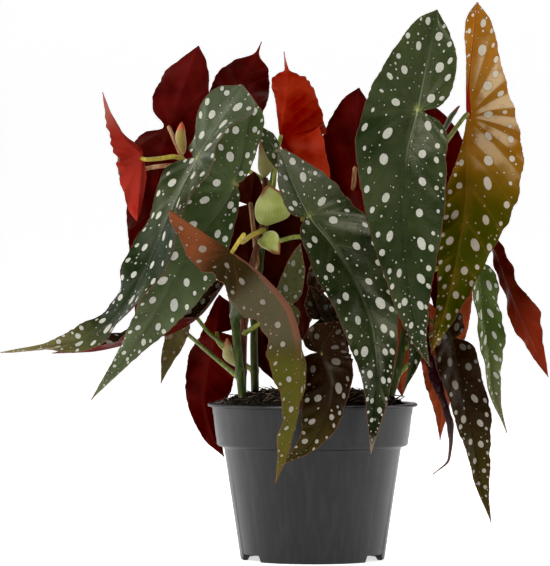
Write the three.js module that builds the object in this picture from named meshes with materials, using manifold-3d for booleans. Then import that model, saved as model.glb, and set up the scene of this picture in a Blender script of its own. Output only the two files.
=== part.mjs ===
// Potted polka dot begonia: a grey nursery pot with soil, jointed canes, and angel-wing leaves on stalks.
// Millimetres, +Z up, origin on the pot's axis at the surface it stands on. -Y is the front, towards the
// viewer.
import * as THREE from "three";
import { mergeVertices } from "three/addons/utils/BufferGeometryUtils.js";
import Module from "manifold-3d";

const wasm = await Module();
wasm.setup();

// Pot
const POT_HEIGHT = 104;
const LIP_RADIUS = 70;
const LIP_THICKNESS = 2.4;
const BAND_TOP_RADIUS = 66.7;
const BAND_FOOT_RADIUS = 63.6;
const BAND_FOOT_HEIGHT = 76;
const BODY_TOP_RADIUS = 59;
const BODY_FOOT_RADIUS = 48;
const POT_WALL = 1.6;
const FLOOR_THICKNESS = 1.8;
const SEAT_RADIUS = 20;
const RAISED_FLOOR = 3.6;
const FOOT_RING_WIDTH = 3;
const NOTCH_HEIGHT = 4;
const NOTCH_DEPTH = 8;
const NOTCH_ANGLE = 28;
const NOTCH_BEARINGS = [-150, -30, 90];
const HOLE_RADIUS = 4;
const HOLE_CIRCLE = 33;
const HOLE_COUNT = 6;
const HOLE_SIDES = 8;
const POT_SIDES = 36;

// Soil and the clearances that keep pieces apart
const SOIL_RIM = 100.5;
const SOIL_HEAP = 12;
const SOIL_GAP = 0.3;
const FACET_SLACK = 0.7;
const SOIL_LUMP = 1.6;
const SOIL_SIDES = 28;
const GAP = 0.35;

// Canes
const CANE_SIDES = 7;
const CANE_STEP = 8.5;
const CANE_FOOT = 74;
const CANE_TAPER = 0.3;
const CANE_POINTS = 8;
const JOINT_EVERY = 34;
const JOINT_SWELL = 0.22;
const JOINT_SHARPNESS = 9;

// Leaves: wave and arch are shares of a blade's length and half width
const BLADE_THICKNESS = 0.8;
const TIP_HALF_WIDTH = 0.7;
const WAVE_HEIGHT = 0.012;
const WAVE_TURNS = 3;
const CALM_HALF_WIDTH = 8;
const ARCH = 0.12;
const MIDRIB_SPAN = 0.1;
const STALK_RADIUS = 1.7;
const STALK_TAPER = 0.25;
const STALK_SIDES = 5;
const STALK_STEPS = 5;
const STALK_LEAD = 14;

// Points of the plant are given as [across, height, depth]: across and height as they show from the front on
// the plane through the pot's axis, depth away from the viewer. The eye is level with the plant's middle.
const EYE = { x: -25, z: 183.8, distance: 2300 };

function seen([across, height, depth]) {
  const spread = (EYE.distance + depth) / EYE.distance;
  return new THREE.Vector3(
    EYE.x + (across - EYE.x) * spread,
    depth,
    EYE.z + (height - EYE.z) * spread,
  );
}

// A smooth curve through values at uneven knots, which never swings past them.
function flow(knots, values, at) {
  const last = knots.length - 1;
  const t = Math.min(Math.max(at, knots[0]), knots[last]);
  let i = 0;
  while (i < last - 1 && t > knots[i + 1]) i += 1;
  const step = (k) => (values[k + 1] - values[k]) / (knots[k + 1] - knots[k]);
  const slope = (k) => {
    if (k === 0) return step(0);
    if (k === last) return step(last - 1);
    const before = step(k - 1);
    const after = step(k);
    return before * after <= 0 ? 0 : (2 * before * after) / (before + after);
  };
  const width = knots[i + 1] - knots[i];
  const u = (t - knots[i]) / width;
  const rise = u * u * (3 - 2 * u);
  return values[i] * (1 - rise) + values[i + 1] * rise
    + width * u * (1 - u) * ((1 - u) * slope(i) - u * slope(i + 1));
}

function flowPoint(knots, points, at) {
  return new THREE.Vector3(
    flow(knots, points.map((p) => p.x), at),
    flow(knots, points.map((p) => p.y), at),
    flow(knots, points.map((p) => p.z), at),
  );
}

// Solids
function toSolid(geometry) {
  geometry.deleteAttribute("normal");
  geometry.deleteAttribute("uv");
  const merged = mergeVertices(geometry, 1e-4);
  return new wasm.Manifold(new wasm.Mesh({
    numProp: 3,
    vertProperties: new Float32Array(merged.attributes.position.array),
    triVerts: new Uint32Array(merged.index.array),
  }));
}

function largestPart(solid) {
  const parts = solid.decompose();
  return parts.reduce((best, part) => (part.volume() > best.volume() ? part : best));
}

function toGeometry(solid) {
  const mesh = solid.getMesh();
  const geometry = new THREE.BufferGeometry();
  const positions = [];
  for (let v = 0; v < mesh.numVert; v += 1) {
    for (let axis = 0; axis < 3; axis += 1) positions.push(mesh.vertProperties[v * mesh.numProp + axis]);
  }
  geometry.setAttribute("position", new THREE.Float32BufferAttribute(positions, 3));
  geometry.setIndex(Array.from(mesh.triVerts));
  geometry.computeVertexNormals();
  return geometry;
}

function gridSolid(points, faces) {
  const geometry = new THREE.BufferGeometry();
  const places = points.flatMap((p) => [p.x, p.y, p.z]);
  geometry.setAttribute("position", new THREE.Float32BufferAttribute(places, 3));
  geometry.setIndex(faces.flat());
  return toSolid(geometry);
}

// A round stem along a smooth curve through its points, with a radius that changes along it.
function stemSolid(points, radiusAt, sides, steps) {
  const curve = new THREE.CatmullRomCurve3(points, false, "centripetal");
  const frames = curve.computeFrenetFrames(steps, false);
  const places = [];
  const faces = [];
  for (let i = 0; i <= steps; i += 1) {
    const centre = curve.getPointAt(i / steps);
    const radius = radiusAt(i / steps);
    for (let k = 0; k < sides; k += 1) {
      const angle = (k / sides) * 2 * Math.PI;
      places.push(centre.clone()
        .addScaledVector(frames.normals[i], Math.cos(angle) * radius)
        .addScaledVector(frames.binormals[i], Math.sin(angle) * radius));
      if (i === steps) continue;
      const a = i * sides + k;
      const b = i * sides + ((k + 1) % sides);
      faces.push([a, b, b + sides], [a, b + sides, a + sides]);
    }
  }
  for (let k = 1; k < sides - 1; k += 1) {
    faces.push([0, k + 1, k]);
    faces.push([steps * sides, steps * sides + k, steps * sides + k + 1]);
  }
  return gridSolid(places, faces);
}

// Canes: each stands in the soil and rises through its points.
const CANES = {
  green: {
    radius: 3.1, colour: 0x5d7a34,
    path: [[-46, 100, -18], [-51, 150, -16], [-56, 195, 0], [-70, 240, 10], [-86, 272, 10]],
  },
  brown: {
    radius: 2.9, colour: 0x6b3c22,
    path: [[-47, 100, -3], [-46, 150, -3], [-41, 195, 4], [-31, 230, 10], [-32, 262, 14]],
  },
  olive: {
    radius: 2.9, colour: 0x55662f,
    path: [[-38, 100, 16], [-39, 150, 18], [-34, 205, 24], [-27, 248, 32], [-24, 270, 36]],
  },
  middle: {
    radius: 3.0, colour: 0x55662f,
    path: [[8, 100, 12], [12, 160, 18], [22, 215, 28], [29, 252, 38]],
  },
  right: {
    radius: 2.9, colour: 0x4f7030,
    path: [[50, 100, 2], [60, 140, 4], [66, 195, 6], [76, 245, 8], [86, 284, 10]],
  },
  back: {
    radius: 3.0, colour: 0x5d6a34,
    path: [[-8, 100, 38], [-10, 160, 44], [-4, 220, 50], [2, 262, 54]],
  },
};

function canePoint(cane, height) {
  const heights = cane.path.map((p) => seen(p).z);
  return flowPoint(heights, cane.path.map(seen), height);
}

function caneRadius(cane, height) {
  const phase = ((height - CANE_FOOT) / JOINT_EVERY) % 1;
  const nearJoint = Math.max(0, 1 - Math.abs(phase - 0.5) * JOINT_SHARPNESS);
  const top = seen(cane.path[cane.path.length - 1]).z;
  const taper = 1 - CANE_TAPER * ((height - CANE_FOOT) / (top - CANE_FOOT));
  return cane.radius * taper * (1 + JOINT_SWELL * nearJoint);
}

function caneSolid(cane, extra) {
  const foot = seen(cane.path[0]);
  const start = new THREE.Vector3(foot.x, foot.y, CANE_FOOT - extra);
  const top = seen(cane.path[cane.path.length - 1]).z;
  const points = [start];
  for (let i = 0; i <= CANE_POINTS; i += 1) {
    points.push(canePoint(cane, THREE.MathUtils.lerp(foot.z, top, i / CANE_POINTS)));
  }
  const radiusAt = (t) => caneRadius(cane, THREE.MathUtils.lerp(CANE_FOOT, top, t)) + extra;
  return stemSolid(points, radiusAt, CANE_SIDES, Math.round((top - CANE_FOOT) / CANE_STEP));
}

// The outline of one leaf: the half widths of its broad and its narrow side, as shares of the blade's length,
// from the tip of the lobe, past the stalk at 0, to the drip tip at 1.
const LOBE_SHARE = 0.39;
const FULL_ROWS = [-0.39, -0.34, -0.25, -0.13, -0.04, 0, 0.04, 0.13, 0.26, 0.4, 0.55, 0.7, 0.85, 1];
const FEW_ROWS = [-0.39, -0.25, -0.08, 0, 0.06, 0.22, 0.45, 0.72, 1];
const BROAD = {
  at: [-0.39, -0.34, -0.25, -0.12, 0, 0.12, 0.3, 0.5, 0.7, 0.85, 1],
  half: [0, 0.055, 0.11, 0.16, 0.19, 0.195, 0.17, 0.125, 0.075, 0.038, 0],
};
const NARROW = {
  at: [-0.39, -0.3, -0.2, -0.1, -0.03, 0, 0.03, 0.1, 0.25, 0.45, 0.6, 0.75, 0.88, 1],
  half: [0, 0.06, 0.115, 0.12, 0.085, 0.025, 0.1, 0.15, 0.165, 0.15, 0.115, 0.07, 0.032, 0],
};
const COLUMNS = [-1, -0.5, 0, 0.5, 1];

// Leaves. path: lobe tip, stalk, points down the midrib, drip tip. face: which way the upper side looks, at
// the lobe, the stalk and the tip. hand: 1 or -1, which side is broad. fold: degrees that the halves rise.
// broad and narrow: widths of the two sides, as shares of the usual outline. blunt: above 1 a rounder
// outline, below 1 a more tapered one. drip: where a long drip tip starts. few: fewer rows, for a leaf that
// others hide. cane, root: where the stalk starts. via: points that it passes. lead: how far below the blade
// the stalk turns towards it.
const LEAVES = [
  {
    name: "leaf_centre", tint: "green", hand: 1, fold: 24, broad: [1.3, 1.13, 1.13, 1.13, 1.13, 1.13],
    narrow: [1.45, 1.07, 1.02, 1.02, 1.02, 1.02],
    path: [[83, 366, -38], [70, 299, -44], [62, 262, -52], [62, 225, -56], [65, 180, -58], [71, 148, -55],
      [78, 128, -52]],
    face: [[0, -1, 0.15], [0, -1, 0.1], [0, -1, 0]], cane: "right", root: 236,
  },
  {
    name: "leaf_amber", tint: "gold", hand: 1, fold: 12, broad: [1, 0.96, 1.1, 1.3, 1.18, 1.3],
    narrow: [1.5, 0.2, 0.05, 0.55, 0.68, 0.8],
    path: [[110, 371, -4], [103, 294, -6], [103, 262, -12], [102, 236, -18], [97, 205, -22], [90, 172, -26],
      [79, 137, -30]],
    face: [[0.3, 0.95, 0.1], [0.1, 1, 0.1], [0.1, 1, 0]], cane: "right", root: 268,
  },
  {
    name: "leaf_left", tint: "green", hand: -1, fold: 18,
    broad: [1.9, 0.75, 0.75, 0.9, 0.9, 0.9], narrow: [1.9, 0.8, 0.75, 0.62, 0.6, 0.6],
    path: [[-47, 316, -20], [-77, 267, -28], [-97.5, 226, -36], [-114.3, 187, -40], [-131, 162, -36],
      [-158, 144.5, -30], [-208, 137.5, -24]],
    face: [[-0.3, -0.9, 0.2], [-0.75, -0.5, 0.4], [-0.3, -0.6, 0.7]], cane: "green", root: 250,
    via: [[-92, 262, -6]], lead: 10,
  },
  {
    name: "leaf_left_inner", tint: "green", hand: 1, fold: 14, broad: 0.75,
    narrow: [1.7, 0.52, 0.35, 0.93, 0.74, 0.4],
    path: [[-40, 307, -2], [-52, 250, -8], [-81, 206, -12], [-105.5, 162, -14], [-126.5, 132, -16],
      [-147.5, 106, -20]],
    face: [[0, -1, 0.1], [0, -1, 0.2], [-0.1, -1, 0.1]], cane: "green", root: 238,
  },
  {
    name: "leaf_rust", tint: "rust", hand: -1, fold: 42, broad: [0.78, 1], narrow: [0.6, 0.7],
    path: [[-96, 232, -74], [-54, 204, -72], [-31, 186, -78], [-13, 163, -86], [-8, 140, -94], [-9, 106, -98],
      [-19, 66, -96], [-25, 50, -92]],
    face: [[-0.3, 0.9, -0.3], [-0.5, 0.3, -0.7], [-0.6, 0.8, 0]], cane: "brown", root: 219,
    via: [[-40, 216, -20], [-47, 211, -45]],
  },
  {
    name: "leaf_diagonal", tint: "green", hand: -1, fold: 28, broad: 0.9, narrow: [0.65, 0.95],
    path: [[-23, 273, -16], [-2, 228, -26], [14, 208, -34], [30, 180, -44], [40, 150, -54], [43, 118, -66],
      [39, 70, -74]],
    face: [[0.2, -1, 0.2], [0.2, -1, 0.2], [0.1, -1, 0]], cane: "olive", root: 208,
    via: [[-14, 214, 4], [4, 216, -12]],
  },
  {
    name: "leaf_low_front", tint: "dark", hand: -1, fold: 10, broad: [1.1, 1.15, 1.15, 0.85, 1, 0.84],
    narrow: 1.3,
    path: [[17, 158, -50], [6, 137, -66], [12, 116, -77], [9, 98, -82], [0, 79, -83], [-21, 62, -82]],
    face: [[0, -1, 0.5], [0.1, -1, 0.3], [0.1, -1, 0]], cane: "middle", root: 128,
  },
  {
    name: "leaf_right_green", tint: "green", hand: 1, fold: 35,
    broad: [0.5, 0.5, 0.45, 0.65, 0.74, 0.55], narrow: [0.6, 0.6, 0.67, 0.64, 0.66, 0.5],
    path: [[114, 229, 8], [111, 198, 6], [112.6, 174.5, 4], [115.6, 156, 3], [118, 138, 2], [119.3, 118, 0],
      [129.5, 84, -2]],
    face: [[0.3, -1, 0.2], [0.5, -0.85, 0.1], [0.3, -0.9, 0]], cane: "right", root: 190,
  },
  {
    name: "leaf_far_right", tint: "red", hand: 1, fold: 25, broad: [0.3, 0.3, 0.34, 0.34, 1.15, 1],
    narrow: [0.4, 0.4, 0.42, 0.47, 0.95, 1.5],
    path: [[111, 246, 26], [116, 218, 26], [124.3, 200.5, 26], [131, 182, 25], [138.3, 164.5, 24],
      [147.7, 144, 22], [157.3, 121, 18]],
    face: [[0.8, 0.6, 0.2], [0.7, 0.7, 0.3], [0.2, 1, 0.2]], cane: "right", root: 212,
    via: [[104, 212, 8]],
  },
  {
    name: "leaf_low_right", tint: "dark", hand: 1, fold: 28, broad: 0.75, narrow: 0.75,
    path: [[86, 169, -2], [93, 147, -6], [97, 126, -12], [104, 99, -16], [109, 72, -18], [112.7, 49, -20],
      [119.2, 24, -22]],
    face: [[0.2, -1, 0.4], [0.3, -1, 0.2], [0.2, -1, 0]], cane: "right", root: 160,
    via: [[80, 158, 0]],
  },
  {
    name: "leaf_red_low", tint: "red", hand: 1, fold: 10, broad: 0.9, narrow: 0.9, few: true,
    path: [[75, 172, 20], [80, 149, 18], [84, 122, 16], [86, 102, 14], [85, 79, 10]],
    face: [[0, 1, 0.2], [0, 1, 0.1], [0, 1, 0]], cane: "right", root: 140,
  },
  {
    name: "leaf_curled", tint: "dark", hand: 1, fold: 55, broad: 0.4, narrow: 0.4, few: true,
    path: [[78, 169, -8], [77, 149, -10], [83, 126, -8], [90, 102, -4], [93.3, 84, -2], [91.3, 66.5, -2],
      [80, 56, -4]],
    face: [[-0.5, -0.8, 0], [-0.5, -0.8, 0], [-0.5, -0.8, 0]], cane: "right", root: 122,
  },
  {
    name: "leaf_orange_right", tint: "red", hand: 1, fold: 10, broad: 1.1, narrow: 1.1, few: true,
    path: [[85, 216, 34], [90, 198, 34], [95, 172, 32], [97, 152, 30], [95, 129, 28]],
    face: [[0, 1, 0.1], [0, 1, 0], [0, 1, 0]], cane: "middle", root: 176, via: [[40, 182, 34]],
    lead: 5,
  },
  {
    name: "leaf_olive_tip", tint: "green", hand: 1, fold: 25, broad: 0.7, narrow: 0.7, few: true,
    path: [[57, 219, -36], [62, 196, -36], [66, 166, -38], [69, 142, -38], [66, 126, -38], [60, 111, -36]],
    face: [[0, -1, 0.1], [0, -1, 0], [0, -1, 0]], cane: "right", root: 162,
  },
  {
    name: "leaf_orange_low", tint: "red", hand: -1, fold: 8, broad: 1.5, narrow: 1.3, blunt: 1.5,
    few: true,
    path: [[47.7, 198, 18], [53.7, 179, 18], [56.3, 159, 18], [58.3, 139, 17], [59.7, 108, 15]],
    face: [[0, 1, 0.1], [0, 1, 0], [0, 1, 0]], cane: "middle", root: 146, via: [[34, 150, 24]], lead: 5,
  },
  {
    name: "leaf_scarlet", tint: "red", hand: 1, fold: 40, broad: [1.6, 1.6, 1.4, 1, 0.9, 0.9],
    narrow: [0.9, 0.9, 0.6, 0.3, 0.3, 0.4],
    path: [[-117, 225, -8], [-114, 267, -10], [-126, 281, -26], [-134.3, 296, -42], [-140, 311, -54]],
    face: [[-0.2, 0.95, 0], [-0.5, 0.85, 0.1], [-0.8, 0.5, 0.3]], cane: "green", root: 264,
    via: [[-92, 268, -4], [-100, 267, -6]], lead: 6,
  },
  {
    name: "leaf_bronze", tint: "gold", hand: 1, fold: 10, broad: 2, narrow: 2, few: true,
    path: [[-119, 246, 6], [-122, 257, 6], [-126, 265, 6], [-130, 273, 6]],
    face: [[0, 1, 0.1], [0, 1, 0.1], [0, 1, 0.1]], cane: "green", root: 259,
    via: [[-92, 262, 0], [-106, 261, 0]], lead: 5,
  },
  {
    name: "leaf_wine_left", tint: "red", hand: 1, fold: 12, broad: 1,
    narrow: [1, 1.05, 1.2, 0.9, 0.86, 0.9], blunt: 1.2,
    path: [[-76, 342, 24], [-95.5, 287, 24], [-102, 262, 23], [-106, 232, 22], [-109, 202, 21],
      [-118, 158, 20]],
    face: [[0, 1, 0.1], [0, 1, 0.1], [0, 1, 0]], cane: "green", root: 250, via: [[-84, 262, 22]],
    lead: 5,
  },
  {
    name: "leaf_wine_mid", tint: "red", hand: 1, fold: 12,
    broad: [1.15, 1.15, 1.15, 1.2, 1.4, 1.9], narrow: 1.3, blunt: 1.8, drip: 0.92,
    path: [[-62, 249, 62], [-59, 272, 58], [-51, 299, 46], [-46, 317, 26], [-38.5, 332.5, 13], [-34, 344.5, 6]],
    face: [[0, 1, 0.2], [0, 0.9, 0.4], [0, 0.7, 0.7]], cane: "olive", root: 250,
  },
  {
    name: "leaf_flame", tint: "red", hand: -1, fold: 14, broad: [1.8, 2.6, 2.3, 2.05, 2.05, 2],
    narrow: [0.4, 0.4, 0.15, 0.6, 1.24, 1.7], drip: 0.78,
    path: [[11, 247, 8], [-21, 281, 18], [-18, 307, 6], [-17, 322, -10], [-18, 330, -20], [-19, 338, -26]],
    face: [[0, 1, 0.1], [0, 0.9, 0.4], [0, 0.7, 0.7]], cane: "olive", root: 266,
  },
  {
    name: "leaf_wine_centre", tint: "red", hand: -1, fold: 10, broad: [1.25, 1.2], narrow: 1.1, blunt: 1.4,
    path: [[31, 314, 28], [28, 258, 26], [34, 229, 20], [37, 199, 12], [37, 172, 8], [35, 152, 6]],
    face: [[0, 1, 0.1], [0, 1, 0.1], [0, 1, 0]], cane: "middle", root: 240,
  },
  {
    name: "leaf_wine_right", tint: "red", hand: 1, fold: 8, broad: 1, narrow: 0.9, few: true,
    path: [[70, 306, 26], [77, 274, 26], [82, 239, 24], [85, 206, 23], [86, 172, 22], [84, 146, 22]],
    face: [[0, 1, 0], [0, 1, 0], [0, 1, 0]], cane: "right", root: 256,
  },
  {
    name: "leaf_low_left", tint: "red", hand: -1, fold: 8, broad: [0.5, 0.5, 0.6, 1, 1.22, 2], narrow: 1.35,
    path: [[-62, 176, 20], [-64, 151, 34], [-69, 130, 48], [-72, 107, 55], [-68, 87, 56], [-59, 68, 54]],
    face: [[-0.2, 1, 0.2], [-0.2, 1, 0.2], [-0.2, 1, 0]], cane: "olive", root: 124,
  },
  {
    name: "leaf_long_dark", tint: "dark", hand: 1, fold: 48, broad: 0.9, narrow: [1.3, 1.1],
    path: [[-57, 186, 12], [-77, 160.5, 10], [-95, 150.5, 9], [-121.7, 143.8, 8], [-148, 138.5, 4],
      [-173.7, 137, -4]],
    face: [[0, -0.42, 0.9], [0, -0.42, 0.9], [0, -0.3, 0.95]], cane: "green", root: 136,
  },
  {
    name: "leaf_small_brown", tint: "olive", hand: -1, fold: 12, broad: 1, narrow: 1, few: true,
    path: [[-85, 166, 22], [-89, 156, 21], [-93, 142, 19], [-97, 131, 16], [-101, 117, 13]],
    face: [[0, -1, 0.1], [0, -1, 0.1], [0, -1, 0]], cane: "green", root: 120,
  },
  {
    name: "leaf_hidden_front", tint: "green", hand: 1, fold: 16, broad: 1.1, narrow: 1, few: true,
    path: [[-8, 210, -52], [-15, 170, -53], [-19, 152, -55], [-19, 132, -59], [-16, 114, -63]],
    face: [[0.1, -1, 0], [0, -1, 0], [0, -1, 0.1]], cane: "brown", root: 150,
  },
  {
    name: "leaf_shade", tint: "dark", hand: 1, fold: 10, broad: 1.2, narrow: 1.2, few: true,
    path: [[-1, 172, -12], [6, 198, -10], [15, 216, -8], [22, 239, -6]],
    face: [[0, -1, 0], [0, -1, 0], [0, -1, 0]], cane: "middle", root: 180,
  },
  {
    name: "leaf_sprig", tint: "green", hand: 1, fold: 20, broad: 0.9, narrow: 0.9, few: true,
    path: [[-36, 289, -4], [-24, 272, -4], [-12, 256, -6], [4, 234, -10]],
    face: [[0, -1, 0.2], [0, -1, 0.2], [0, -1, 0.1]], cane: "olive", root: 236,
    via: [[-26, 248, 8], [-25, 260, 1]], lead: 4,
  },
  {
    name: "leaf_inner", tint: "red", hand: 1, fold: 10, broad: 0.6, narrow: 1.1, few: true,
    path: [[-39, 258, 32], [-41, 236, 34], [-43, 204, 38], [-45, 172, 42], [-48, 140, 42]],
    face: [[0, 1, 0.1], [0, 1, 0.1], [0, 1, 0]], cane: "olive", root: 190,
  },
  {
    name: "leaf_core", tint: "red", hand: -1, fold: 10, broad: [0.9, 2.1], narrow: 1.1, few: true,
    path: [[2, 258, 32], [-6, 232, 32], [-9, 205, 31], [-8, 175, 32], [-4, 142, 33]],
    face: [[0, 1, 0.1], [0, 1, 0.1], [0, 1, 0]], cane: "back", root: 196, lead: 5, via: [[-8, 214, 42]],
  },
  {
    name: "leaf_dark_low", tint: "dark", hand: -1, fold: 10, broad: 1.2, narrow: 1.2, few: true,
    path: [[-2, 182, -24], [6, 160, -26], [14, 142, -30], [20, 124, -36], [24, 110, -42]],
    face: [[0, -1, 0.1], [0, -1, 0.1], [0, -1, 0.2]], cane: "middle", root: 142, lead: 6,
  },
  {
    name: "leaf_low_middle", tint: "red", hand: 1, fold: 8, broad: 1.5, narrow: 1.5, blunt: 1.8,
    few: true,
    path: [[-42, 176, 28], [-36, 158, 28], [-32, 144, 28], [-29, 131, 28], [-26, 119, 28]],
    face: [[0, 1, 0.1], [0, 1, 0.1], [0, 1, 0]], cane: "back", root: 138, lead: 5,
  },
  {
    name: "leaf_back_left", tint: "red", hand: -1, fold: 12, broad: 1, narrow: 1, few: true,
    path: [[-88, 262, 58], [-76, 228, 62], [-84, 200, 68], [-92, 170, 74], [-98, 138, 76]],
    face: [[-0.2, 0.9, 0.4], [-0.2, 0.9, 0.4], [-0.2, 1, 0.1]], cane: "back", root: 208,
  },
  {
    name: "leaf_back_middle", tint: "red", hand: 1, fold: 12, broad: 1.05, narrow: 1, few: true,
    path: [[14, 262, 62], [4, 226, 70], [0, 196, 76], [-4, 170, 80], [-10, 140, 82]],
    face: [[0, 0.9, 0.4], [0, 0.9, 0.4], [0, 1, 0.1]], cane: "back", root: 232,
  },
  {
    name: "leaf_back_right", tint: "red", hand: -1, fold: 12, broad: 1, narrow: 1, few: true,
    path: [[72, 268, 46], [60, 232, 52], [62, 200, 58], [68, 168, 62], [76, 138, 62]],
    face: [[0.2, 0.9, 0.4], [0.2, 0.9, 0.4], [0.2, 1, 0.1]], cane: "back", root: 216,
  },
  {
    name: "leaf_back_top", tint: "red", hand: 1, fold: 14, broad: 1, narrow: 1, few: true,
    path: [[-14, 284, 68], [-10, 258, 74], [-6, 240, 92], [0, 218, 106], [4, 190, 114]],
    face: [[0, 0.4, 0.9], [0, 0.5, 0.8], [0.1, 0.8, 0.5]], cane: "back", root: 254,
  },
];

function leafFrame(leaf) {
  const points = leaf.path.map(seen);
  const knots = [0];
  for (let i = 2; i < points.length; i += 1) knots.push(knots[i - 2] + points[i].distanceTo(points[i - 1]));
  const length = knots[knots.length - 1];
  const lobe = points[0].distanceTo(points[1]) / length;
  const at = [-lobe, ...knots.map((k) => k / length)];
  const faceAt = leaf.face.length === 3 ? [-lobe, 0, 1] : [-lobe, 0, 0.5, 1];
  const faces = leaf.face.map((f) => new THREE.Vector3(...f).normalize());
  const centre = (s) => flowPoint(at, points, s);
  const frameAt = (share) => {
    const s = share < 0 ? (share / LOBE_SHARE) * lobe : share;
    const ahead = centre(Math.min(s + MIDRIB_SPAN, 1));
    const along = ahead.sub(centre(Math.max(s - MIDRIB_SPAN, -lobe))).normalize();
    const up = flowPoint(faceAt, faces, s);
    up.addScaledVector(along, -up.dot(along)).normalize();
    return { centre: centre(s), up, side: along.clone().cross(up) };
  };
  return { length, frameAt };
}

// A width that is one number holds for the whole blade; a pair is for the lobe and for the tip; six are for the
// lobe's tip, the lobe, the stalk, and three places from there to the drip tip.
const WIDTH_KNOTS = [-LOBE_SHARE, -0.2, 0, 0.35, 0.6, 1];

function widthAt(width, share) {
  const [lobe, tip = lobe, ...more] = [width].flat();
  if (more.length > 0) return flow(WIDTH_KNOTS, width, share);
  return THREE.MathUtils.lerp(lobe, tip, THREE.MathUtils.smoothstep(share, -0.15, 0.35));
}

// From its drip share on, a blade is drawn out into a slim tip.
const DRIP_FALL = 0.12;
const DRIP_SLIM = 0.2;

function dripShare(share, drip) {
  return 1 - (1 - DRIP_SLIM) * THREE.MathUtils.smoothstep(share, drip - DRIP_FALL, drip);
}

// A blunt blade keeps its width longer towards the lobe and the drip tip.
function bluntShare(share, blunt) {
  return share < 0 ? -LOBE_SHARE * (-share / LOBE_SHARE) ** blunt : share ** blunt;
}

function bladePoint(leaf, frame, share, q) {
  const { centre, up, side } = frame.frameAt(share);
  const broadSide = q * leaf.hand > 0;
  const table = broadSide ? BROAD : NARROW;
  const scale = widthAt(broadSide ? leaf.broad : leaf.narrow, share) * frame.length;
  const outline = flow(table.at, table.half, bluntShare(share, leaf.blunt ?? 1));
  const drawn = leaf.drip ? dripShare(share, leaf.drip) : 1;
  const half = Math.max(outline * scale * drawn, TIP_HALF_WIDTH);
  const fold = THREE.MathUtils.degToRad(leaf.fold);
  const out = Math.abs(q);
  const phase = share * WAVE_TURNS * 2 * Math.PI + q * 1.3 + leaf.hand;
  const wave = WAVE_HEIGHT * frame.length * out * out * Math.sin(phase) * Math.min(1, half / CALM_HALF_WIDTH);
  return centre
    .addScaledVector(side, Math.sign(q) * half * out * Math.cos(fold))
    .addScaledVector(up, half * (out * Math.sin(fold) - ARCH * out * out) + wave);
}

function bladeSolid(leaf, frame) {
  const rows = leaf.few ? FEW_ROWS : FULL_ROWS;
  return sheetSolid(
    rows.map((share) => COLUMNS.map((q) => bladePoint(leaf, frame, share, q))),
    rows.map((share) => frame.frameAt(share).up),
  );
}

// A thin sheet from a grid of points: its lower face repeats the triangles of its upper face.
function sheetSolid(grid, ups) {
  const columns = grid[0].length;
  const top = [];
  const bottom = [];
  grid.forEach((row, i) => {
    row.forEach((point, j) => {
      const down = grid[Math.min(i + 1, grid.length - 1)][j].clone().sub(grid[Math.max(i - 1, 0)][j]);
      const across = row[Math.min(j + 1, columns - 1)].clone().sub(row[Math.max(j - 1, 0)]);
      const normal = across.cross(down).normalize();
      if (normal.dot(ups[i]) < 0) normal.negate();
      top.push(point.clone().addScaledVector(normal, BLADE_THICKNESS / 2));
      bottom.push(point.clone().addScaledVector(normal, -BLADE_THICKNESS / 2));
    });
  });
  const faces = [];
  const lower = top.length;
  const quad = (a, b, c, d) => {
    faces.push([a, b, c], [a, c, d]);
    faces.push([lower + a, lower + c, lower + b], [lower + a, lower + d, lower + c]);
  };
  const wall = (a, b) => faces.push([b, a, lower + a], [b, lower + a, lower + b]);
  for (let i = 0; i < grid.length - 1; i += 1) {
    for (let j = 0; j < columns - 1; j += 1) {
      const a = i * columns + j;
      quad(a, a + columns, a + columns + 1, a + 1);
    }
    wall(i * columns, (i + 1) * columns);
    wall((i + 2) * columns - 1, (i + 1) * columns - 1);
  }
  for (let j = 0; j < columns - 1; j += 1) {
    wall(j + 1, j);
    wall((grid.length - 1) * columns + j, (grid.length - 1) * columns + j + 1);
  }
  const solid = gridSolid([...top, ...bottom], faces);
  return solid.volume() > 0 ? solid : gridSolid([...top, ...bottom], faces.map(([a, b, c]) => [a, c, b]));
}

function stalkSolid(leaf, frame) {
  const { centre, up } = frame.frameAt(0);
  const start = canePoint(CANES[leaf.cane], leaf.root);
  const lead = centre.clone().addScaledVector(up, -(leaf.lead ?? STALK_LEAD));
  const points = [start, ...(leaf.via ?? []).map(seen), lead, centre];
  return stemSolid(points, (t) => STALK_RADIUS * (1.15 - STALK_TAPER * t), STALK_SIDES, STALK_STEPS);
}

function leafSolid(leaf) {
  const frame = leafFrame(leaf);
  const blade = bladeSolid(leaf, frame);
  const stalk = stalkSolid(leaf, frame).subtract(caneSolid(CANES[leaf.cane], GAP));
  return largestPart(blade.add(largestPart(stalk)));
}

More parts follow.
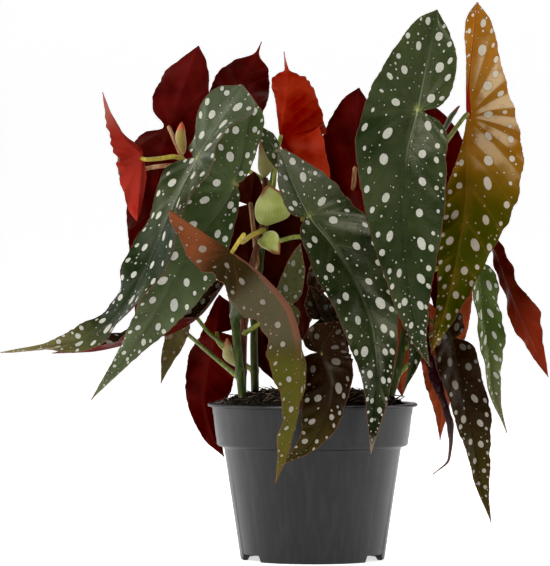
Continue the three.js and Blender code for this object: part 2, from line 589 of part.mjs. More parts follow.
// Stipules: small cupped bracts at the joints of the canes. path runs from foot to tip.
const BRACTS = [
  {
    name: "stipule_large", colour: 0x9fae4c, half: 12.6, fold: -18, cane: "brown",
    path: [[-32, 222, 8], [-27, 229, -8], [-26, 238, -14], [-29, 249, -9]], face: [0, -1, 0],
  },
  {
    name: "stipule_lower", colour: 0xa9bd45, half: 7, fold: 20, cane: "brown",
    path: [[-35, 215, 8], [-27, 211, -6], [-22, 203, -10]], face: [-0.3, -1, 0.3],
  },
  {
    name: "stipule_pod", colour: 0x8a7c30, half: 6, fold: -30, cane: "brown",
    path: [[-32, 254, 13], [-31, 265, 4], [-34, 279, 3]], face: [0, -1, 0],
  },
  {
    name: "stipule_dark", colour: 0x3c4c22, half: 8, fold: -20, cane: "green",
    path: [[-52, 158, -13], [-47, 166, -24], [-56, 177, -27]], face: [-0.2, -1, -0.3],
  },
  {
    name: "stipule_left_bud", colour: 0xc06a30, half: 4, fold: -35, cane: "green",
    path: [[-86, 270, 10], [-88, 281, 4], [-87, 291, 0]], face: [0, -1, 0],
  },
  {
    name: "stipule_sheath", colour: 0x8f9c50, half: 4, fold: -30, cane: "green",
    path: [[-50, 128, -17], [-57, 137, -19], [-57, 147, -17]], face: [-0.2, -1, 0],
  },
  {
    name: "stipule_right_bud", colour: 0x5f7a34, half: 1.8, fold: -20, cane: "right",
    path: [[86, 282, 10], [92, 294, 7], [98, 302, 4]], face: [0, -1, 0],
  },
];
const BRACT_ROWS = [0, 0.15, 0.4, 0.65, 0.88, 1];

function bractSolid(bract) {
  const points = bract.path.map(seen);
  const knots = points.map((_, i) => i / (points.length - 1));
  const fold = THREE.MathUtils.degToRad(bract.fold);
  const face = new THREE.Vector3(...bract.face).normalize();
  const along = points[points.length - 1].clone().sub(points[0]).normalize();
  const up = face.addScaledVector(along, -face.dot(along)).normalize();
  const side = along.clone().cross(up);
  const grid = BRACT_ROWS.map((share) => COLUMNS.map((q) => {
    const half = Math.max(bract.half * Math.sin(Math.PI * share ** 0.8) ** 0.7, TIP_HALF_WIDTH);
    const out = Math.abs(q);
    return flowPoint(knots, points, share)
      .addScaledVector(side, half * q * Math.cos(fold * out))
      .addScaledVector(up, half * out * out * Math.sin(fold));
  }));
  return largestPart(sheetSolid(grid, BRACT_ROWS.map(() => up)).subtract(caneSolid(CANES[bract.cane], GAP)));
}

// Pot
function potSolid() {
  const outline = [
    [0, 0], [SEAT_RADIUS, 0], [SEAT_RADIUS + 3, RAISED_FLOOR],
    [BODY_FOOT_RADIUS - FOOT_RING_WIDTH - 2, RAISED_FLOOR],
    [BODY_FOOT_RADIUS - FOOT_RING_WIDTH, 0], [BODY_FOOT_RADIUS, 0], [BODY_TOP_RADIUS, BAND_FOOT_HEIGHT - 1.5],
    [BAND_FOOT_RADIUS, BAND_FOOT_HEIGHT], [BAND_TOP_RADIUS, POT_HEIGHT - LIP_THICKNESS],
    [LIP_RADIUS, POT_HEIGHT - LIP_THICKNESS], [LIP_RADIUS, POT_HEIGHT - 0.6], [LIP_RADIUS - 0.8, POT_HEIGHT],
    [BAND_TOP_RADIUS - POT_WALL, POT_HEIGHT], [BAND_FOOT_RADIUS - POT_WALL, BAND_FOOT_HEIGHT + 1.2],
    [BODY_TOP_RADIUS - POT_WALL, BAND_FOOT_HEIGHT - 0.6],
    [BODY_FOOT_RADIUS - POT_WALL, RAISED_FLOOR + FLOOR_THICKNESS],
    [SEAT_RADIUS + 3, RAISED_FLOOR + FLOOR_THICKNESS], [SEAT_RADIUS, FLOOR_THICKNESS], [0, FLOOR_THICKNESS],
  ].map(([r, z]) => new THREE.Vector2(r, z));
  const lathe = new THREE.LatheGeometry(outline, POT_SIDES);
  lathe.rotateX(Math.PI / 2);
  let pot = toSolid(lathe);
  if (pot.volume() < 0) throw new Error("pot is inside out");
  for (const bearing of NOTCH_BEARINGS) {
    const chord = 2 * BODY_FOOT_RADIUS * Math.sin(THREE.MathUtils.degToRad(NOTCH_ANGLE / 2));
    const box = new THREE.BoxGeometry(NOTCH_DEPTH * 2, chord, NOTCH_HEIGHT * 2);
    box.translate(BODY_FOOT_RADIUS, 0, 0);
    box.rotateZ(THREE.MathUtils.degToRad(bearing));
    pot = pot.subtract(toSolid(box));
  }
  for (let i = 0; i < HOLE_COUNT; i += 1) {
    const drill = new THREE.CylinderGeometry(HOLE_RADIUS, HOLE_RADIUS, FLOOR_THICKNESS * 10, HOLE_SIDES);
    drill.rotateX(Math.PI / 2);
    const angle = ((i + 0.5) / HOLE_COUNT) * 2 * Math.PI;
    drill.translate(Math.cos(angle) * HOLE_CIRCLE, Math.sin(angle) * HOLE_CIRCLE, RAISED_FLOOR);
    pot = pot.subtract(toSolid(drill));
  }
  return pot;
}

// Soil fills the pot to just under its lip and heaps up in the middle. The first rings follow the wall; the
// heap's rings are given by their radius and their share of the heap's height.
const WALL_RINGS = 4;
const HEAP = [[58, 0.45], [46, 0.85], [30, 1], [14, 0.95]];

function soilSolid() {
  const wall = POT_WALL + SOIL_GAP + FACET_SLACK;
  const rings = [
    [BODY_FOOT_RADIUS - wall, RAISED_FLOOR + FLOOR_THICKNESS + SOIL_GAP],
    [BODY_TOP_RADIUS - wall, BAND_FOOT_HEIGHT - 1.5],
    [BAND_FOOT_RADIUS - wall, BAND_FOOT_HEIGHT + 4],
    [BAND_TOP_RADIUS - wall, SOIL_RIM],
    ...HEAP.map(([radius, share]) => [radius, SOIL_RIM + SOIL_HEAP * share]),
  ];
  const points = [];
  const faces = [];
  rings.forEach(([radius, height], i) => {
    for (let k = 0; k < SOIL_SIDES; k += 1) {
      const angle = (k / SOIL_SIDES) * 2 * Math.PI;
      const lump = i < WALL_RINGS ? 0 : SOIL_LUMP * Math.sin(5 * angle + i * 2.1) * Math.cos(3 * angle - i);
      points.push(new THREE.Vector3(Math.cos(angle) * radius, Math.sin(angle) * radius, height + lump));
      if (i === rings.length - 1) continue;
      const a = i * SOIL_SIDES + k;
      const b = i * SOIL_SIDES + ((k + 1) % SOIL_SIDES);
      faces.push([a, b, b + SOIL_SIDES], [a, b + SOIL_SIDES, a + SOIL_SIDES]);
    }
  });
  const under = points.length;
  points.push(new THREE.Vector3(0, 0, rings[0][1]), new THREE.Vector3(0, 0, SOIL_RIM + SOIL_HEAP * 0.9));
  const topRing = (rings.length - 1) * SOIL_SIDES;
  for (let k = 0; k < SOIL_SIDES; k += 1) {
    const next = (k + 1) % SOIL_SIDES;
    faces.push([next, k, under], [topRing + k, topRing + next, under + 1]);
  }
  let soil = gridSolid(points, faces);
  for (const cane of Object.values(CANES)) soil = soil.subtract(caneSolid(cane, GAP));
  return largestPart(soil);
}

// Materials
const POT_COLOUR = 0x4b4d50;
const POT_ROUGHNESS = 0.55;
const SOIL_COLOUR = 0x17110d;
const SOIL_ROUGHNESS = 0.95;
const STEM_ROUGHNESS = 0.5;
const LEAF_ROUGHNESS = 0.45;
const LEAF_COLOURS = {
  green: 0x33482c,
  red: 0x6a0d0a,
  gold: 0xb1781a,
  rust: 0x7a4a1e,
  olive: 0x5c6420,
  dark: 0x2a1c14,
};

const plant = new THREE.Group();

function addPiece(name, solid, colour, roughness) {
  const material = new THREE.MeshStandardMaterial({ color: colour, roughness, metalness: 0 });
  const mesh = new THREE.Mesh(toGeometry(solid), material);
  mesh.name = name;
  plant.add(mesh);
}

addPiece("pot", potSolid(), POT_COLOUR, POT_ROUGHNESS);
addPiece("soil", soilSolid(), SOIL_COLOUR, SOIL_ROUGHNESS);
for (const [name, cane] of Object.entries(CANES)) {
  addPiece(`cane_${name}`, caneSolid(cane, 0), cane.colour, STEM_ROUGHNESS);
}
for (const bract of BRACTS) addPiece(bract.name, bractSolid(bract), bract.colour, STEM_ROUGHNESS);
for (const leaf of LEAVES) addPiece(leaf.name, leafSolid(leaf), LEAF_COLOURS[leaf.tint], LEAF_ROUGHNESS);

export default plant;
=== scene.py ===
# Looks of the potted polka dot begonia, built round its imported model: spotted leaves with red undersides,
# jointed canes, papery stipules, potting mix and a grey moulded nursery pot.
import random
from collections import namedtuple
from math import atan2, cos, hypot, pi, radians, sin, sqrt

import bmesh
import bpy
import numpy as np
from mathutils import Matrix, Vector, noise


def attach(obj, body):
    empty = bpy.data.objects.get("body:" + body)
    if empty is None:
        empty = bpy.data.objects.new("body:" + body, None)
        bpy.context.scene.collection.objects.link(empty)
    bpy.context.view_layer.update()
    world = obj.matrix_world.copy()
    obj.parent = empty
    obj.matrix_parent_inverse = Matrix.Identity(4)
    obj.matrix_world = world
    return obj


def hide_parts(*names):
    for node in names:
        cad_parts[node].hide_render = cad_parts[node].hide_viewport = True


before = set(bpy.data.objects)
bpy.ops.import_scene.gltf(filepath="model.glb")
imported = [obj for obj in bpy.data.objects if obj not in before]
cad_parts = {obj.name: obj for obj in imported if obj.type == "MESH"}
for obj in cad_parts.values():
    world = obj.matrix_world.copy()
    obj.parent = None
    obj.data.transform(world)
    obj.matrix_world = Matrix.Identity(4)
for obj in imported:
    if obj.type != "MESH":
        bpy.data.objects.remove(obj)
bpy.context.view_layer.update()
scene = bpy.context.scene

# The plant's points are in millimetres, as on its drawing; meshes are made in metres.
MM = 0.001
SEED = 21

# Pot and soil, in millimetres
POT_HEIGHT = 104
LIP_RADIUS = 70
LIP_THICKNESS = 2.4
BAND_FOOT_RADIUS = 63.6
BAND_FOOT_HEIGHT = 76
BODY_TOP_RADIUS = 59
BODY_FOOT_RADIUS = 48
POT_WALL = 1.6
RAISED_FLOOR = 3.6
FLOOR_THICKNESS = 1.8
HOLE_COUNT = 6
HOLE_RADIUS = 4
HOLE_RING = 33
NOTCH_HEIGHT = 4
NOTCH_ANGLE = 28
NOTCH_BEARINGS = (-150, -30, 90)
POT_SIDES = 180
EDGE_BEVEL = 0.25
SOIL_RIM = 100.5
SOIL_HEAP = 12
SOIL_SIDES = 120
SOIL_RINGS = 44
SOIL_MIDDLE = 2
SOIL_REACH = 62.6
CRUMB_COUNT = 1500
CRUMB_REACH = 62.5
FIBRE_COUNT = 420
FIBRE_REACH = 60

# Leaves and canes
BLADE_THICKNESS = 0.6
EDGE_THINNING = 0.45
LEAST_HALF = 0.35
ARCH = 0.12
WAVE_HEIGHT = 0.016
WAVE_TURNS = 3
WAVE_LEAN = 1.3
CALM_HALF_WIDTH = 8
MIDRIB_SPAN = 0.1
MIDRIB_SINK = 0.5
MIDRIB_WIDTH = 1.2
ROW_STEP = 1.5
LEAST_ROWS = (12, 28)
COLUMNS = 27
EDGE_CROWD = 1.29
SCALLOP = 0.014
TOOTH = 0.6
TOOTH_STEPS = (3.2, 1.7)
RIPPLE = 0.5
RIPPLE_TURNS = 41
SWELL = 0.75
SWELL_REACH = (0.5, 7)
SWELL_SPACING = 10
STALK_RADIUS = 1.5
STALK_TAPER = 0.25
STALK_SWELL = 0.35
STALK_LEAD = 14
STALK_STEPS = 30
STALK_SIDES = 12
CANE_FOOT = 74
CANE_TAPER = 0.3
CANE_STEPS = 110
CANE_SIDES = 20
JOINT_EVERY = 34
JOINT_SWELL = 0.22
WELD_DISTANCE = 1e-5

# The eye that the plant's points are given from, and the lens that frames it as the photograph does
EYE = np.array([-25.0, -2300.0, 183.8])
PHOTO_HEIGHT_MM = 377.3
SENSOR = 36.0
SIGHT_END = 40


def seen(points):
    """Places in millimetres of points given as [across, height, depth] on the plane of the pot's axis."""
    across, height, depth = np.asarray(points, float).reshape(-1, 3).T
    spread = (depth - EYE[1]) / -EYE[1]
    return np.stack([EYE[0] + (across - EYE[0]) * spread, depth, EYE[2] + (height - EYE[2]) * spread], 1)


def flow(knots, values, at):
    """A smooth curve through values at uneven knots, which never swings past them."""
    knots = np.asarray(knots, float)
    values = np.asarray(values, float)
    flat = values.ndim == 1
    values = values.reshape(len(knots), -1)
    at = np.clip(np.atleast_1d(np.asarray(at, float)), knots[0], knots[-1])
    step = np.diff(values, axis=0) / np.diff(knots)[:, None]
    before, after = step[:-1], step[1:]
    total = np.where(before + after == 0, 1, before + after)
    middle = np.where(before * after > 0, 2 * before * after / total, 0)
    slope = np.concatenate([step[:1], middle, step[-1:]])
    i = np.clip(np.searchsorted(knots, at, side="left") - 1, 0, len(knots) - 2)
    width = (knots[i + 1] - knots[i])[:, None]
    u = (at - knots[i])[:, None] / width
    rise = u * u * (3 - 2 * u)
    curve = values[i] * (1 - rise) + values[i + 1] * rise
    curve += width * u * (1 - u) * ((1 - u) * slope[i] - u * slope[i + 1])
    return curve[:, 0] if flat else curve


def unit(vectors):
    return vectors / np.maximum(np.linalg.norm(vectors, axis=-1, keepdims=True), 1e-9)


def smoothstep(value, low, high):
    u = np.clip((value - low) / (high - low), 0, 1)
    return u * u * (3 - 2 * u)


def rough(x, y, z):
    return noise.noise(Vector((x, y, z)))


def on_circle(radius, angle, height):
    return radius * cos(angle), radius * sin(angle), height


def route(points, steps):
    """A centripetal curve through the points, walked at even steps."""
    points = np.asarray(points, float)
    ends = np.concatenate([[2 * points[0] - points[1]], points, [2 * points[-1] - points[-2]]])
    fine = []
    for p0, p1, p2, p3 in zip(ends, ends[1:], ends[2:], ends[3:]):
        d0, d1, d2 = (max(np.linalg.norm(b - a) ** 0.5, 1e-3) for a, b in ((p0, p1), (p1, p2), (p2, p3)))
        t1 = ((p1 - p0) / d0 - (p2 - p0) / (d0 + d1) + (p2 - p1) / d1) * d1
        t2 = ((p2 - p1) / d1 - (p3 - p1) / (d1 + d2) + (p3 - p2) / d2) * d1
        square = 3 * (p2 - p1) - 2 * t1 - t2
        cube = 2 * (p1 - p2) + t1 + t2
        for u in np.linspace(0, 1, 24, endpoint=False):
            fine.append(p1 + t1 * u + square * u ** 2 + cube * u ** 3)
    fine = np.array([*fine, points[-1]])
    walked = np.concatenate([[0], np.cumsum(np.linalg.norm(np.diff(fine, axis=0), axis=1))])
    at = np.linspace(0, walked[-1], steps + 1)
    return np.stack([np.interp(at, walked, fine[:, k]) for k in range(3)], 1)


def new_object(name, data):
    thing = bpy.data.objects.new(name, data)
    scene.collection.objects.link(thing)
    return thing


class Form:
    """Vertices, faces, material numbers and corner values of one mesh, gathered part by part."""

    MAPS = ("spots", "veins", "rim", "lie")

    def __init__(self):
        self.points = []
        self.faces = []
        self.slots = []
        self.corners = {name: [] for name in self.MAPS}
        self.count = 0

    def add(self, points, faces, slot, **maps):
        """Each map gives two numbers for each of the points, or for each corner of each face."""
        corners = [k for face in faces for k in face]
        for name in self.MAPS:
            values = maps.get(name)
            if values is None:
                self.corners[name].append(np.zeros((len(corners), 2)))
            elif np.ndim(values) == 3:
                self.corners[name].append(np.reshape(values, (-1, 2)))
            else:
                self.corners[name].append(np.asarray(values, float)[corners])
        self.faces.extend([self.count + k for k in face] for face in faces)
        self.slots.extend([slot] * len(faces))
        self.points.append(np.asarray(points, float))
        self.count += len(points)

    def build(self, name, materials, mapped=False):
        mesh = bpy.data.meshes.new(name)
        mesh.from_pydata((np.concatenate(self.points) * MM).tolist(), [], self.faces)
        for material in materials:
            mesh.materials.append(material)
        mesh.polygons.foreach_set("material_index", self.slots)
        mesh.polygons.foreach_set("use_smooth", [True] * len(self.faces))
        for map_name in self.MAPS if mapped else ():
            layer = mesh.uv_layers.new(name=map_name, do_init=False)
            values = np.concatenate(self.corners[map_name]).astype(np.float32)
            layer.uv.foreach_set("vector", values.ravel())
        mesh.update()
        return new_object(name, mesh)


def weld(piece):
    """Joins the points that lie in one place, so that each sheet is one closed body."""
    work = bmesh.new()
    work.from_mesh(piece.data)
    bmesh.ops.remove_doubles(work, verts=work.verts, dist=WELD_DISTANCE)
    work.to_mesh(piece.data)
    work.free()


def belt(low, high, count):
    """Quads between two closed rings of points, given the numbers of their first points."""
    around = [(k, (k + 1) % count) for k in range(count)]
    return [(low + a, low + b, high + b, high + a) for a, b in around]


def tube(form, centres, radii, sides, slot):
    """A round stem with closed ends along centres, with one radius for each."""
    centres = np.asarray(centres, float)
    along = unit(np.gradient(centres, axis=0))
    normal = unit(np.cross(along[0], [0.31, 0.87, 0.38]))
    points = []
    for place, direction, radius in zip(centres, along, radii):
        normal = unit(normal - direction * np.dot(normal, direction))
        across = np.cross(direction, normal)
        for k in range(sides):
            angle = 2 * pi * k / sides
            points.append(place + radius * (cos(angle) * normal + sin(angle) * across))
    last = (len(centres) - 1) * sides
    faces = []
    for start in range(0, last, sides):
        faces += belt(start, start + sides, sides)
    faces.append(tuple(range(sides))[::-1])
    faces.append(tuple(range(last, last + sides)))
    form.add(points, faces, slot)


def two_sides(grid, up, rise):
    """Points of both sides of a sheet, each rise off its middle; the first side looks up."""
    normal = unit(np.cross(np.gradient(grid, axis=1), np.gradient(grid, axis=0)))
    normal *= np.sign((normal * up).sum(2, keepdims=True))
    return (grid + normal * rise).reshape(-1, 3), (grid - normal * rise).reshape(-1, 3)


def grid_faces(rows, columns):
    """Quads of a sheet whose points run along its columns first, for the columns given."""
    return [(i * COLUMNS + j, i * COLUMNS + j + 1, (i + 1) * COLUMNS + j + 1, (i + 1) * COLUMNS + j)
            for i in range(rows - 1) for j in columns]


def add_edge(form, top, bottom, rows, **maps):
    """Closes the edge between the two sides of a sheet."""
    ring = [i * COLUMNS for i in range(rows)]
    ring += [(rows - 1) * COLUMNS + j for j in range(1, COLUMNS)]
    ring += [i * COLUMNS + COLUMNS - 1 for i in range(rows - 2, -1, -1)]
    ring += list(range(COLUMNS - 2, 0, -1))
    lower = rows * COLUMNS
    walls = [(b, a, a + lower, b + lower) for a, b in zip(ring, ring[1:] + ring[:1])]
    doubled = {name: np.tile(values, (2, 1)) for name, values in maps.items()}
    form.add(np.concatenate([top, bottom]), walls, 0, **doubled)


# Canes: the radius at the foot, and the points that each rises through from the soil
CANES = {
    "green": (3.1, [[-46, 100, -18], [-51, 150, -16], [-56, 195, 0], [-70, 240, 10], [-86, 272, 10]]),
    "brown": (2.9, [[-47, 100, -3], [-46, 150, -3], [-41, 195, 4], [-31, 230, 10], [-32, 262, 14]]),
    "olive": (2.9, [[-38, 100, 16], [-39, 150, 18], [-34, 205, 24], [-27, 248, 32], [-24, 270, 36]]),
    "middle": (3.0, [[8, 100, 12], [12, 160, 18], [22, 215, 28], [29, 252, 38]]),
    "right": (2.9, [[50, 100, 2], [60, 140, 4], [66, 195, 6], [76, 245, 8], [86, 284, 10]]),
    "back": (3.0, [[-8, 100, 38], [-10, 160, 44], [-4, 220, 50], [2, 262, 54]]),
}


def cane_point(name, height):
    places = seen(CANES[name][1])
    return flow(places[:, 2], places, height)


def cane_radius(name, height):
    phase = ((height - CANE_FOOT) / JOINT_EVERY) % 1
    near_joint = np.maximum(0, 1 - np.abs(phase - 0.5) * 9)
    top = seen(CANES[name][1])[-1, 2]
    taper = 1 - CANE_TAPER * (height - CANE_FOOT) / (top - CANE_FOOT)
    return CANES[name][0] * taper * (1 + JOINT_SWELL * near_joint ** 1.5)


# The outline of one leaf: half widths of its broad and its narrow side, as shares of the blade's length,
# from the tip of the lobe, past the stalk at 0, to the drip tip at 1
LOBE_SHARE = 0.39
BROAD = (
    (-0.39, -0.34, -0.25, -0.12, 0, 0.12, 0.3, 0.5, 0.7, 0.85, 1),
    (0, 0.055, 0.11, 0.16, 0.19, 0.195, 0.17, 0.125, 0.075, 0.038, 0),
)
NARROW = (
    (-0.39, -0.3, -0.2, -0.1, -0.03, 0, 0.03, 0.1, 0.25, 0.45, 0.6, 0.75, 0.88, 1),
    (0, 0.06, 0.115, 0.12, 0.085, 0.025, 0.1, 0.15, 0.165, 0.15, 0.115, 0.07, 0.032, 0),
)
# Where the six widths of a leaf that has six hold, and how fast and how far a drip tip narrows
WIDTH_KNOTS = (-LOBE_SHARE, -0.2, 0, 0.35, 0.6, 1)
DRIP_FALL = 0.12
DRIP_SLIM = 0.2

